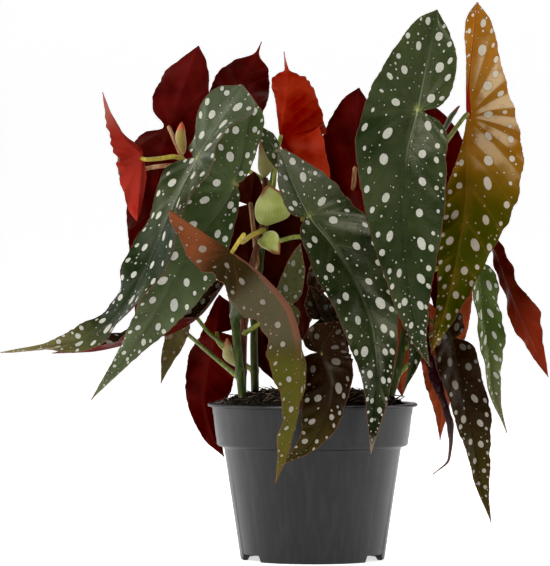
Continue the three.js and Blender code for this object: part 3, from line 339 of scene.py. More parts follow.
# Leaves. hand: 1 or -1, for the side that is broad. fold: degrees that both halves stand up. broad, narrow:
# factors of the outline. cane, root: the stalk's cane, and the height where it leaves it. path: lobe tip,
# stalk, points down the midrib, drip tip. face: where the upper side looks, at the lobe, the stalk and the
# tip, or one direction for all. stalk: its bark. via, lead: points that the stalk passes, and its straight
# end. blunt: how blunt both tips are. drip: the share of the blade by which it has narrowed to a drip tip.
Leaf = namedtuple("Leaf", "look hand fold broad narrow cane root path face stalk via lead blunt drip",
                  defaults=("green", (), STALK_LEAD, 1, None))
LEAVES = {
    "centre": Leaf(
        "green", 1, 24, (1.3, 1.13, 1.13, 1.13, 1.13, 1.13), (1.45, 1.07, 1.02, 1.02, 1.02, 1.02), "right",
        236,
        [[83, 366, -38], [70, 299, -44], [62, 262, -52], [62, 225, -56], [65, 180, -58], [71, 148, -55],
         [78, 128, -52]],
        [[0, -1, 0.15], [0, -1, 0.1], [0, -1, 0]]),
    "amber": Leaf(
        "gold", 1, 12, (1, 0.96, 1.1, 1.3, 1.18, 1.3), (1.5, 0.2, 0.05, 0.55, 0.68, 0.8), "right", 268,
        [[110, 371, -4], [103, 294, -6], [103, 262, -12], [102, 236, -18], [97, 205, -22], [90, 172, -26],
         [79, 137, -30]],
        [[0.3, 0.95, 0.1], [0.1, 1, 0.1], [0.1, 1, 0]], stalk="deep"),
    "left": Leaf(
        "tipped", -1, 18, (1.9, 0.75, 0.75, 0.9, 0.9, 0.9), (1.9, 0.8, 0.75, 0.62, 0.6, 0.6), "green", 250,
        [[-47, 316, -20], [-77, 267, -28], [-97.5, 226, -36], [-114.3, 187, -40], [-131, 162, -36],
         [-158, 144.5, -30], [-208, 137.5, -24]],
        [[-0.3, -0.9, 0.2], [-0.75, -0.5, 0.4], [-0.3, -0.6, 0.7]], via=[[-92, 262, -6]], lead=10),
    # left_inner's look is a lighter copy of green: painted light, as this leaf lies in the left leaf's
    # shadow.
    "left_inner": Leaf("painted_light_green", 1, 14, 0.75, (1.7, 0.52, 0.35, 0.93, 0.74, 0.4), "green", 238,
        [[-40, 307, -2], [-52, 250, -8], [-81, 206, -12], [-105.5, 162, -14], [-126.5, 132, -16],
         [-147.5, 106, -20]],
        [[0, -1, 0.1], [0, -1, 0.2], [-0.1, -1, 0.1]]),
    "rust": Leaf("rust", -1, 42, (0.78, 1), (0.6, 0.7), "brown", 219,
        [[-96, 232, -74], [-54, 204, -72], [-31, 186, -78], [-13, 163, -86], [-8, 140, -94], [-9, 106, -98],
         [-19, 66, -96], [-25, 50, -92]],
        [[-0.3, 0.9, -0.3], [-0.5, 0.3, -0.7], [-0.6, 0.8, 0]], stalk="straw",
        via=[[-40, 216, -20], [-47, 211, -45]]),
    "diagonal": Leaf("browned", -1, 28, 0.9, (0.65, 0.95), "olive", 208,
        [[-23, 273, -16], [-2, 228, -26], [14, 208, -34], [30, 180, -44], [40, 150, -54], [43, 118, -66],
         [39, 70, -74]],
        [[0.2, -1, 0.2], [0.2, -1, 0.2], [0.1, -1, 0]], via=[[-14, 214, 4], [4, 216, -12]]),
    "low_front": Leaf("dark", -1, 10, (1.1, 1.15, 1.15, 0.85, 1, 0.84), 1.3, "middle", 128,
        [[17, 158, -50], [6, 137, -66], [12, 116, -77], [9, 98, -82], [0, 79, -83], [-21, 62, -82]],
        [[0, -1, 0.5], [0.1, -1, 0.3], [0.1, -1, 0]]),
    "right_green": Leaf(
        "vivid", 1, 35, (0.5, 0.5, 0.45, 0.65, 0.74, 0.55), (0.6, 0.6, 0.67, 0.64, 0.66, 0.5), "right", 190,
        [[114, 229, 8], [111, 198, 6], [112.6, 174.5, 4], [115.6, 156, 3], [118, 138, 2], [119.3, 118, 0],
         [129.5, 84, -2]],
        [[0.3, -1, 0.2], [0.5, -0.85, 0.1], [0.3, -0.9, 0]]),
    "far_right": Leaf(
        "russet", 1, 25, (0.3, 0.3, 0.34, 0.34, 1.15, 1), (0.4, 0.4, 0.42, 0.47, 0.95, 1.5), "right", 212,
        [[111, 246, 26], [116, 218, 26], [124.3, 200.5, 26], [131, 182, 25], [138.3, 164.5, 24],
         [147.7, 144, 22], [157.3, 121, 18]],
        [[0.8, 0.6, 0.2], [0.7, 0.7, 0.3], [0.2, 1, 0.2]], via=[[104, 212, 8]]),
    "low_right": Leaf("dark", 1, 28, 0.75, 0.75, "right", 160,
        [[86, 169, -2], [93, 147, -6], [97, 126, -12], [104, 99, -16], [109, 72, -18], [112.7, 49, -20],
         [119.2, 24, -22]],
        [[0.2, -1, 0.4], [0.3, -1, 0.2], [0.2, -1, 0]], via=[[80, 158, 0]]),
    "red_low": Leaf("ember", 1, 10, 0.9, 0.9, "right", 140,
        [[75, 172, 20], [80, 149, 18], [84, 122, 16], [86, 102, 14], [85, 79, 10]],
        [[0, 1, 0.2], [0, 1, 0.1], [0, 1, 0]]),
    "curled": Leaf("plum", 1, 55, 0.4, 0.4, "right", 122,
        [[78, 169, -8], [77, 149, -10], [83, 126, -8], [90, 102, -4], [93.3, 84, -2], [91.3, 66.5, -2],
         [80, 56, -4]],
        [-0.5, -0.8, 0]),
    "orange_right": Leaf("ember", 1, 10, 1.1, 1.1, "middle", 176,
        [[85, 216, 34], [90, 198, 34], [95, 172, 32], [97, 152, 30], [95, 129, 28]],
        [[0, 1, 0.1], [0, 1, 0], [0, 1, 0]], via=[[40, 182, 34]], lead=5),
    "olive_tip": Leaf("green", 1, 25, 0.7, 0.7, "right", 162,
        [[57, 219, -36], [62, 196, -36], [66, 166, -38], [69, 142, -38], [66, 126, -38], [60, 111, -36]],
        [[0, -1, 0.1], [0, -1, 0], [0, -1, 0]]),
    "orange_low": Leaf("ember", -1, 8, 1.5, 1.3, "middle", 146,
        [[47.7, 198, 18], [53.7, 179, 18], [56.3, 159, 18], [58.3, 139, 17], [59.7, 108, 15]],
        [[0, 1, 0.1], [0, 1, 0], [0, 1, 0]], blunt=1.5, via=[[34, 150, 24]], lead=5),
    "scarlet": Leaf(
        "scarlet", 1, 40, (1.6, 1.6, 1.4, 1, 0.9, 0.9), (0.9, 0.9, 0.6, 0.3, 0.3, 0.4), "green", 264,
        [[-117, 225, -8], [-114, 267, -10], [-126, 281, -26], [-134.3, 296, -42], [-140, 311, -54]],
        [[-0.2, 0.95, 0], [-0.5, 0.85, 0.1], [-0.8, 0.5, 0.3]], stalk="straw",
        via=[[-92, 268, -4], [-100, 267, -6]], lead=6),
    "bronze": Leaf("bronze", 1, 10, 2, 2, "green", 259,
        [[-119, 246, 6], [-122, 257, 6], [-126, 265, 6], [-130, 273, 6]],
        [0, 1, 0.1], stalk="tan", via=[[-92, 262, 0], [-106, 261, 0]], lead=5),
    "wine_left": Leaf("wine", 1, 12, 1, (1, 1.05, 1.2, 0.9, 0.86, 0.9), "green", 250,
        [[-76, 342, 24], [-95.5, 287, 24], [-102, 262, 23], [-106, 232, 22], [-109, 202, 21],
         [-118, 158, 20]],
        [[0, 1, 0.1], [0, 1, 0.1], [0, 1, 0]], stalk="tan", blunt=1.2, via=[[-84, 262, 22]], lead=5),
    "wine_mid": Leaf("wine", 1, 12, (1.15, 1.15, 1.15, 1.2, 1.4, 1.9), 1.3, "olive", 250,
        [[-62, 249, 62], [-59, 272, 58], [-51, 299, 46], [-46, 317, 26], [-38.5, 332.5, 13],
         [-34, 344.5, 6]],
        [[0, 1, 0.2], [0, 0.9, 0.4], [0, 0.7, 0.7]], blunt=1.8, drip=0.92),
    "flame": Leaf(
        "flame", -1, 14, (1.8, 2.6, 2.3, 2.05, 2.05, 2), (0.4, 0.4, 0.15, 0.6, 1.24, 1.7), "olive", 266,
        [[11, 247, 8], [-21, 281, 18], [-18, 307, 6], [-17, 322, -10], [-18, 330, -20], [-19, 338, -26]],
        [[0, 1, 0.1], [0, 0.9, 0.4], [0, 0.7, 0.7]], drip=0.78),
    "wine_centre": Leaf("wine", -1, 10, (1.25, 1.2), 1.1, "middle", 240,
        [[31, 314, 28], [28, 258, 26], [34, 229, 20], [37, 199, 12], [37, 172, 8], [35, 152, 6]],
        [[0, 1, 0.1], [0, 1, 0.1], [0, 1, 0]], stalk="tan", blunt=1.4),
    "wine_right": Leaf("wine", 1, 8, 1, 0.9, "right", 256,
        [[70, 306, 26], [77, 274, 26], [82, 239, 24], [85, 206, 23], [86, 172, 22], [84, 146, 22]],
        [0, 1, 0], stalk="tan"),
    "low_left": Leaf("wine", -1, 8, (0.5, 0.5, 0.6, 1, 1.22, 2), 1.35, "olive", 124,
        [[-62, 176, 20], [-64, 151, 34], [-69, 130, 48], [-72, 107, 55], [-68, 87, 56], [-59, 68, 54]],
        [[-0.2, 1, 0.2], [-0.2, 1, 0.2], [-0.2, 1, 0]]),
    "long_dark": Leaf("long", 1, 48, 0.9, (1.3, 1.1), "green", 136,
        [[-57, 186, 12], [-77, 160.5, 10], [-95, 150.5, 9], [-121.7, 143.8, 8], [-148, 138.5, 4],
         [-173.7, 137, -4]],
        [[0, -0.42, 0.9], [0, -0.42, 0.9], [0, -0.3, 0.95]], stalk="deep"),
    "small_brown": Leaf("olive", -1, 12, 1, 1, "green", 120,
        [[-85, 166, 22], [-89, 156, 21], [-93, 142, 19], [-97, 131, 16], [-101, 117, 13]],
        [[0, -1, 0.1], [0, -1, 0.1], [0, -1, 0]], stalk="deep"),
    "hidden_front": Leaf("dim", 1, 16, 1.1, 1, "brown", 150,
        [[-8, 210, -52], [-15, 170, -53], [-19, 152, -55], [-19, 132, -59], [-16, 114, -63]],
        [[0.1, -1, 0], [0, -1, 0], [0, -1, 0.1]]),
    # The shade and dark_low leaves wear the shade look, whose near-black upper side is painted shade.
    "shade": Leaf("shade", 1, 10, 1.2, 1.2, "middle", 180,
        [[-1, 172, -12], [6, 198, -10], [15, 216, -8], [22, 239, -6]], [0, -1, 0]),
    "sprig": Leaf("green", 1, 20, 0.9, 0.9, "olive", 236,
        [[-36, 289, -4], [-24, 272, -4], [-12, 256, -6], [4, 234, -10]],
        [[0, -1, 0.2], [0, -1, 0.2], [0, -1, 0.1]], via=[[-26, 248, 8], [-25, 260, 1]], lead=4),
    "inner": Leaf("deep", 1, 10, 0.6, 1.1, "olive", 190,
        [[-39, 258, 32], [-41, 236, 34], [-43, 204, 38], [-45, 172, 42], [-48, 140, 42]],
        [[0, 1, 0.1], [0, 1, 0.1], [0, 1, 0]], stalk="tan"),
    "core": Leaf("deep", -1, 10, (0.9, 2.1), 1.1, "back", 196,
        [[2, 258, 32], [-6, 232, 32], [-9, 205, 31], [-8, 175, 32], [-4, 142, 33]],
        [[0, 1, 0.1], [0, 1, 0.1], [0, 1, 0]], via=[[-8, 214, 42]], lead=5),
    "dark_low": Leaf("shade", -1, 10, 1.2, 1.2, "middle", 142,
        [[-2, 182, -24], [6, 160, -26], [14, 142, -30], [20, 124, -36], [24, 110, -42]],
        [[0, -1, 0.1], [0, -1, 0.1], [0, -1, 0.2]], lead=6),
    "low_middle": Leaf("deep", 1, 8, 1.5, 1.5, "back", 138,
        [[-42, 176, 28], [-36, 158, 28], [-32, 144, 28], [-29, 131, 28], [-26, 119, 28]],
        [[0, 1, 0.1], [0, 1, 0.1], [0, 1, 0]], blunt=1.8, lead=5),
    "back_left": Leaf("wine", -1, 12, 1, 1, "back", 208,
        [[-88, 262, 58], [-76, 228, 62], [-84, 200, 68], [-92, 170, 74], [-98, 138, 76]],
        [[-0.2, 0.9, 0.4], [-0.2, 0.9, 0.4], [-0.2, 1, 0.1]]),
    "back_middle": Leaf("wine", 1, 12, 1.05, 1, "back", 232,
        [[14, 262, 62], [4, 226, 70], [0, 196, 76], [-4, 170, 80], [-10, 140, 82]],
        [[0, 0.9, 0.4], [0, 0.9, 0.4], [0, 1, 0.1]]),
    "back_right": Leaf("wine", -1, 12, 1, 1, "back", 216,
        [[72, 268, 46], [60, 232, 52], [62, 200, 58], [68, 168, 62], [76, 138, 62]],
        [[0.2, 0.9, 0.4], [0.2, 0.9, 0.4], [0.2, 1, 0.1]]),
    "back_top": Leaf("wine", 1, 14, 1, 1, "back", 254,
        [[-14, 284, 68], [-10, 258, 74], [-6, 240, 92], [0, 218, 106], [4, 190, 114]],
        [[0, 0.4, 0.9], [0, 0.5, 0.8], [0.1, 0.8, 0.5]]),
}


class LeafFrame:
    """The midrib of a leaf: its places and directions at shares of the blade, from lobe to drip tip."""

    def __init__(self, leaf):
        self.points = seen(leaf.path)
        walked = np.linalg.norm(np.diff(self.points, axis=0), axis=1)
        self.length = walked[1:].sum()
        self.lobe = walked[0] / self.length
        self.at = np.concatenate([[-self.lobe, 0], np.cumsum(walked[1:]) / self.length])
        self.face_at = (-self.lobe, 0, 1)
        self.faces = unit(np.broadcast_to(np.array(leaf.face, float), (3, 3)))

    def place(self, share):
        """Midrib place, upward and sideways directions, and distance along the blade in millimetres."""
        share = np.atleast_1d(np.asarray(share, float))
        s = np.where(share < 0, share / LOBE_SHARE * self.lobe, share)
        ahead = flow(self.at, self.points, np.minimum(s + MIDRIB_SPAN, 1))
        behind = flow(self.at, self.points, np.maximum(s - MIDRIB_SPAN, -self.lobe))
        along = unit(ahead - behind)
        up = flow(self.face_at, self.faces, s)
        up = unit(up - along * (up * along).sum(1, keepdims=True))
        return flow(self.at, self.points, s), up, np.cross(along, up), s * self.length


def width_at(width, share):
    """One width holds for the whole blade, a pair is for lobe and tip, and six are for the knots."""
    if isinstance(width, tuple) and len(width) == len(WIDTH_KNOTS):
        return flow(WIDTH_KNOTS, width, share)
    lobe, tip = width if isinstance(width, tuple) else (width, width)
    return lobe + (tip - lobe) * smoothstep(share, -0.15, 0.35)


def blunt_share(share, blunt):
    lobe = -LOBE_SHARE * (np.maximum(-share, 0) / LOBE_SHARE) ** blunt
    return np.where(share < 0, lobe, np.maximum(share, 0) ** blunt)


# Veins leave the midrib at even steps and bend to the tip; below the first they fan out from the stalk.
VEIN_LEAN = 0.9
VEIN_BEND = 0.006
FAN_STEP = radians(27)
VEIN_COUNT = 7


def vein_field(x, y, length):
    """A number that is whole on every side vein, and how far apart the veins are there, in millimetres."""
    out = np.abs(x)
    spacing = length / VEIN_COUNT
    foot = y - VEIN_LEAN * out - VEIN_BEND * out ** 2
    angle = np.arctan2(out, y - VEIN_BEND * out ** 2)
    first = atan2(1, VEIN_LEAN)
    fan = (first - angle) / FAN_STEP
    fanned = np.maximum(np.hypot(x, y) * FAN_STEP, 1)
    apart = np.where(foot > 0, spacing * sin(first), fanned)
    return np.where(foot > 0, foot / spacing, fan), np.minimum(apart, spacing * 1.2)


def outline(leaf, share, sign, length):
    """Half width in millimetres at shares of the blade, on the side that sign gives."""
    table, width = (BROAD, leaf.broad) if sign * leaf.hand > 0 else (NARROW, leaf.narrow)
    scale = width_at(width, share) * length
    if leaf.drip:
        scale = scale * (1 - (1 - DRIP_SLIM) * smoothstep(share, leaf.drip - DRIP_FALL, leaf.drip))
    return np.maximum(flow(*table, blunt_share(share, leaf.blunt)) * scale, LEAST_HALF)


# Spots: rows at shares of the half width, each with its step and its smallest and largest radius, and fine
# dots strewn between them. NO_SPOT lies outside every spot.
SPOT_ROWS = ((0.43, 20, 2.3, 3.5), (0.81, 12.5, 1.2, 2.2))
SPOT_LEAN = radians(24)
WIDE_HALF = 20
DOT_AREA = 42
DOT_SIZES = (0.28, 0.55)
DOT_CLEARANCE = 1.1
NO_SPOT = 5.0


def lay_spots(leaf, place, seed, sign):
    """Spots of one half of a blade, each [x, y, radius, slenderness, lean] on the flattened blade."""
    look = LOOKS[leaf.look]
    draw = random.Random(2 * seed + (sign > 0))
    foot = -place.lobe * place.length
    ys = np.arange(foot, place.length, 1.0)
    shares = np.where(ys < 0, ys / place.length / place.lobe * LOBE_SHARE, ys / place.length)
    halves = outline(leaf, shares, sign, place.length)
    spots = []

    def put(x, y, radius):
        lean = SPOT_LEAN + draw.uniform(-0.2, 0.2) if y > 0 else atan2(0.8 * x, y)
        spots.append((x, y, radius * look.size, look.slender * draw.uniform(1.05, 1.3), lean))

    for across, step, least, most in SPOT_ROWS:
        y = foot + step * draw.uniform(0.3, 0.9)
        while y < 0.97 * place.length:
            half = float(np.interp(y, ys, halves))
            size = min(1, half / WIDE_HALF)
            radius = draw.uniform(least, most) * size ** 0.6
            if across * half > radius + 0.6 and (1 - across) * half > 0.75 * radius:
                put((across + draw.uniform(-0.07, 0.07)) * half, y, radius)
            y += step * draw.uniform(0.75, 1.25) * (0.55 + 0.45 * size)
    for _ in range(int(halves.sum() / DOT_AREA)):
        y = draw.uniform(foot, place.length)
        x = draw.uniform(0.05, 0.95) * float(np.interp(y, ys, halves))
        radius = DOT_SIZES[0] + DOT_SIZES[1] * draw.random() ** 2
        if all(hypot(x - s[0], y - s[1]) > 1.25 * s[2] + radius + DOT_CLEARANCE for s in spots):
            put(x, y, radius)
    return np.array(spots)


def spot_corners(spots, x, y, faces):
    """For the corners of each face their place in the spot nearest to it, 1 at its edge, and its radius."""
    faces = np.array(faces)
    fx, fy = x[faces], y[faces]
    away = np.hypot(fx.mean(1)[:, None] - spots[:, 0], fy.mean(1)[:, None] - spots[:, 1])
    near = spots[(away - 1.1 * spots[:, 2]).argmin(1)]
    dx, dy = fx - near[:, :1], fy - near[:, 1:2]
    radius, slender, lean = near[:, 2:3], near[:, 3:4], near[:, 4:5]
    u = (dx * np.sin(lean) + dy * np.cos(lean)) / (radius * slender)
    v = (dx * np.cos(lean) - dy * np.sin(lean)) / (radius / slender)
    return np.stack([u, v], 2), np.repeat(radius, faces.shape[1], 1)


def toothed_half(leaf, place, seed, share, sign, y):
    """Half width with scallops and blunt teeth, and how much of a wide blade's unevenness holds there."""
    half = outline(leaf, share, sign, place.length)
    calm = np.minimum(1, half / CALM_HALF_WIDTH)
    rim_vein, _ = vein_field(half, y, place.length)
    wide, fine = TOOTH_STEPS
    z = seed * 7.31
    teeth = [rough(v / wide, sign * 3, z) + 0.6 * rough(v / fine, sign * 5, z) for v in y]
    half = half * (1 - SCALLOP * LOOKS[leaf.look].pleat * calm * np.cos(2 * pi * rim_vein))
    return np.maximum(half + TOOTH * np.array(teeth) * calm, 0.3), calm


def blade_grid(leaf, place, seed, share, q):
    """The middle of a blade's sheet, its maps' values, its upward directions and distances along it."""
    centre, up, across, y = place.place(share)
    grid = np.zeros((len(share), COLUMNS, 3))
    flat = {name: np.zeros((len(share), COLUMNS)) for name in ("x", "vein", "apart", "rim")}
    fold = radians(leaf.fold)
    pleat = LOOKS[leaf.look].pleat
    middle = COLUMNS // 2
    for sign, columns in ((-1, range(middle + 1)), (1, range(middle + 1, COLUMNS))):
        half, calm = toothed_half(leaf, place, seed, share, sign, y)
        for j in columns:
            out = abs(q[j])
            x = half * out
            vein, apart = vein_field(x, y, place.length)
            phase = share * WAVE_TURNS * 2 * pi + q[j] * WAVE_LEAN + leaf.hand
            rise = half * (out * sin(fold) - ARCH * out ** 2)
            rise += WAVE_HEIGHT * place.length * out ** 2 * np.sin(phase) * calm
            rise += RIPPLE * out ** 4 * np.sin(share * RIPPLE_TURNS + seed) * calm
            bulge = smoothstep(x, *SWELL_REACH) * (0.35 + 0.65 * out) * np.minimum(apart / SWELL_SPACING, 1)
            rise -= SWELL * pleat * bulge * np.cos(2 * pi * vein)
            rise -= MIDRIB_SINK * np.exp(-(x / MIDRIB_WIDTH) ** 2) * calm
            grid[:, j] = centre + across * (sign * x * cos(fold))[:, None] + up * rise[:, None]
            apart = apart * sign * leaf.hand
            for name, value in (("x", x), ("vein", vein), ("apart", apart), ("rim", half - x)):
                flat[name][:, j] = value
    return grid, flat, up, y


def add_blade(form, leaf, place, seed):
    lobe_rows = max(int(place.lobe * place.length / ROW_STEP), LEAST_ROWS[0])
    blade_rows = max(int(place.length / ROW_STEP), LEAST_ROWS[1])
    lobe = np.linspace(-LOBE_SHARE, 0, lobe_rows, endpoint=False)
    share = np.concatenate([lobe, np.linspace(0, 1, blade_rows)])
    q = np.sin(np.linspace(-1, 1, COLUMNS) * EDGE_CROWD) / sin(EDGE_CROWD)
    grid, flat, up, y = blade_grid(leaf, place, seed, share, q)
    thin_edge = (1 - EDGE_THINNING * np.abs(q) ** 5)[None, :, None]
    top, bottom = two_sides(grid, up[:, None], BLADE_THICKNESS / 2 * thin_edge)
    x = flat["x"].ravel()
    y = np.repeat(y, COLUMNS)
    shares = np.repeat(np.where(share < 0, share / LOBE_SHARE * place.lobe, share), COLUMNS)
    veins = np.stack([flat["vein"].ravel(), flat["apart"].ravel()], 1)
    rim = np.stack([flat["rim"].ravel(), x], 1)
    middle = COLUMNS // 2
    for sign, columns in ((-1, range(middle)), (1, range(middle, COLUMNS - 1))):
        quads = grid_faces(len(share), columns)
        spots, radius = spot_corners(lay_spots(leaf, place, seed, sign), x, y, quads)
        lie = np.stack([radius, shares[np.array(quads)]], 2)
        form.add(top, quads, 0, spots=spots, veins=veins, rim=rim, lie=lie)
        turned = [face[::-1] for face in quads]
        form.add(bottom, turned, 1, spots=spots[:, ::-1], veins=veins, rim=rim, lie=lie[:, ::-1])
    lie = np.stack([np.ones(len(x)), shares], 1)
    unspotted = np.full((len(x), 2), NO_SPOT)
    add_edge(form, top, bottom, len(share), veins=veins, rim=rim, lie=lie, spots=unspotted)


def add_stalk(form, leaf, place):
    centre, up, _, _ = place.place(0)
    start = cane_point(leaf.cane, leaf.root)[0]
    lead = centre[0] - up[0] * leaf.lead
    centres = route([start, *seen(leaf.via), lead, centre[0]], STALK_STEPS)
    t = np.linspace(0, 1, STALK_STEPS + 1)
    radii = STALK_RADIUS * (1.15 - STALK_TAPER * t) * (1 + STALK_SWELL * np.exp(-(t / 0.05) ** 2))
    tube(form, centres, radii, STALK_SIDES, 2)


class Shader:
    """Builds one material's nodes in short calls. Sockets are passed on as they are."""

    def __init__(self, name):
        self.material = bpy.data.materials.new(name)
        self.material.use_nodes = True
        self.tree = self.material.node_tree
        self.tree.nodes.clear()
        self.output = self.tree.nodes.new("ShaderNodeOutputMaterial")

    def put(self, socket, value):
        if isinstance(value, bpy.types.NodeSocket):
            self.tree.links.new(value, socket)
        elif isinstance(value, tuple) and len(value) == 3 and socket.type == "RGBA":
            socket.default_value = (*value, 1)
        else:
            socket.default_value = value

    def node(self, kind, inputs=None, **settings):
        node = self.tree.nodes.new("ShaderNode" + kind)
        for key, value in settings.items():
            setattr(node, key, value)
        for key, value in (inputs or {}).items():
            self.put(node.inputs[key], value)
        return node

    def math(self, operation, a, b=0.0, c=0.0):
        return self.node("Math", {0: a, 1: b, 2: c}, operation=operation).outputs[0]

    def times(self, a, b):
        return self.math("MULTIPLY", a, b)

    def map(self, value, low, high, to_low=0.0, to_high=1.0):
        inputs = {0: value, 1: low, 2: high, 3: to_low, 4: to_high}
        return self.node("MapRange", inputs, interpolation_type="SMOOTHSTEP").outputs[0]

    def mix(self, share, a, b):
        return self.node("Mix", {0: share, 6: a, 7: b}, data_type="RGBA").outputs[2]

    def fade(self, colour, tone, value, *limits):
        """The colour, turned to the tone as the value goes from the first limit to the second."""
        return self.mix(self.map(value, *limits), colour, tone)

    def pair(self, name):
        """The two numbers of one of the corner maps."""
        node = self.node("SeparateXYZ", {0: self.node("UVMap", uv_map=name).outputs[0]})
        return node.outputs[0], node.outputs[1]

    def place(self):
        return self.node("TexCoord").outputs["Object"]

    def drawn_out(self, height_scale):
        """The object's places, stretched along its height."""
        return self.node("Mapping", {"Vector": self.place(), "Scale": (1.0, 1.0, height_scale)}).outputs[0]

    def noise(self, scale, detail, vector=None):
        inputs = {"Vector": vector or self.place(), "Scale": scale, "Detail": detail, "Roughness": 0.55}
        return self.node("TexNoise", inputs).outputs[0]

    def patches(self, scale, detail, *limits):
        return self.map(self.noise(scale, detail), *limits)

    def flecks(self, vector, scale, low, high, strength):
        cells = self.node("TexVoronoi", {"Vector": vector, "Scale": scale}, feature="F1")
        return self.map(cells.outputs["Distance"], low, high, strength, 0.0)

    def bump(self, height, strength, distance):
        return self.node("Bump", {"Height": height, "Strength": strength, "Distance": distance}).outputs[0]

    def finish(self, colour, roughness, normal=None, gloss=0.5, tint=(1, 1, 1), glow=0.0, glow_colour=None):
        """A surface that lets the share glow of the light through, in its glow_colour."""
        inputs = {"Base Color": colour, "Roughness": roughness, "Specular IOR Level": gloss,
                  "Specular Tint": tint}
        if normal:
            inputs["Normal"] = normal
        surface = self.node("BsdfPrincipled", inputs).outputs[0]
        if glow:
            through = self.node("BsdfTranslucent", {"Color": glow_colour}).outputs[0]
            surface = self.node("MixShader", {0: glow, 1: surface, 2: through}).outputs[0]
        self.tree.links.new(surface, self.output.inputs["Surface"])
        return self.material


# Looks of leaves: material slot, how far the blade swells between its veins, and its spots. A side that is
# not among UPPERS is GREEN, and one that is not among UNDERS is WINE.
Look = namedtuple("Look", "slot pleat size slender", defaults=(1, 1))
LOOKS = {
    "green": Look("leaf_green", 0.7),
    "browned": Look("leaf_green", 0.8),
    "tipped": Look("leaf_green", 0.8),
    "painted_light_green": Look("leaf_green", 0.8),
    "vivid": Look("leaf_green", 0.7, slender=1.25),
    "dim": Look("leaf_green", 0.7),
    "dark": Look("leaf_dark", 0.9),
    "shade": Look("leaf_dark", 0.9),
    "plum": Look("leaf_dark", 0.8),
    "long": Look("leaf_dark", 0.8),
    "olive": Look("leaf_olive", 0.7),
    "bronze": Look("leaf_gold", 0.9),
    "gold": Look("leaf_gold", 1.3),
    "rust": Look("leaf_rust", 0.9, size=0.75),
    "wine": Look("leaf_red", 0.4),
    "deep": Look("leaf_red", 0.5),
    "flame": Look("leaf_red", 1.2),
    "scarlet": Look("leaf_red", 1.1),
    "ember": Look("leaf_red", 1.1),
    "russet": Look("leaf_red", 1.0),
}


def side(base, light, **special):
    """Tones of one side, in linear colours, which wander between base and light. Some have more: lobe, what
    the lobe turns to, its own paler tone and on the tipped look a painted sheen highlight; tip and turns,
    what the drip tip turns to and between which shares; spots, how much they show at the lobe and at the
    tip; spot, their tone; the sheen tone, a silvery highlight painted by the midrib and veins; sheet, beige
    highlights painted on one side of each pleat between the veins; gloss and glow, how much light it
    mirrors and lets through."""
    return dict(base=base, light=light, **special)


GREEN = side((0.013, 0.022, 0.006), (0.058, 0.074, 0.026), spots=(1, 1))
WINE = side((0.046, 0.0042, 0.0038), (0.2, 0.011, 0.009), glow=0.22)
UPPERS = {
    "browned": dict(GREEN, base=(0.008, 0.013, 0.004), lobe=(0.17, 0.18, 0.12), tip=(0.26, 0.23, 0.17),
                    turns=(0.92, 1.0)),
    # The tipped look's lobe and sheen tones are painted highlights, on its lobe and by its midrib.
    "tipped": dict(GREEN, base=(0.009, 0.017, 0.005), lobe=(0.14, 0.165, 0.1), gloss=0.06,
                   painted_sheen=(0.23, 0.24, 0.18), tip=(0.19, 0.16, 0.045), turns=(0.6, 0.97)),
    # A lighter copy of the green upper side with brighter spots: painted light for the left_inner leaf,
    # which lies in the left leaf's shadow.
    "painted_light_green": side((0.05, 0.08, 0.026), (0.12, 0.155, 0.06), spots=(1, 1), spot=(0.95, 0.95, 0.82),
                  tip=(0.12, 0.15, 0.07), turns=(0.2, 0.7)),
    "vivid": side((0.042, 0.066, 0.01), (0.11, 0.145, 0.04), spots=(1, 1), tip=(0.15, 0.16, 0.07),
                  turns=(0.4, 0.9)),
    "dim": side((0.03, 0.034, 0.009), (0.06, 0.06, 0.02), spots=(0.3, 0.6)),
    "dark": side((0.014, 0.0065, 0.0035), (0.03, 0.015, 0.008), spots=(0.25, 0.9), spot=(0.44, 0.4, 0.33),
                 tip=(0.042, 0.03, 0.006), turns=(0.3, 0.85), gloss=0.06),
    # shade: a near-black side whose spots barely show, painted shade for leaves deep inside the plant.
    "shade": side((0.01, 0.0065, 0.004), (0.022, 0.013, 0.008), spots=(0.1, 0.1)),
    "plum": side((0.03, 0.01, 0.012), (0.08, 0.03, 0.034), spots=(0.1, 0.1), tip=(0.22, 0.15, 0.15),
                 turns=(0.45, 0.85)),
    "long": side((0.016, 0.01, 0.006), (0.045, 0.028, 0.018), spots=(0.5, 0.6), tip=(0.08, 0.014, 0.012),
                 turns=(0.5, 0.95), gloss=0.08),
    "olive": side((0.11, 0.09, 0.03), (0.22, 0.18, 0.08), spots=(0.6, 0.6), spot=(0.5, 0.34, 0.26)),
}
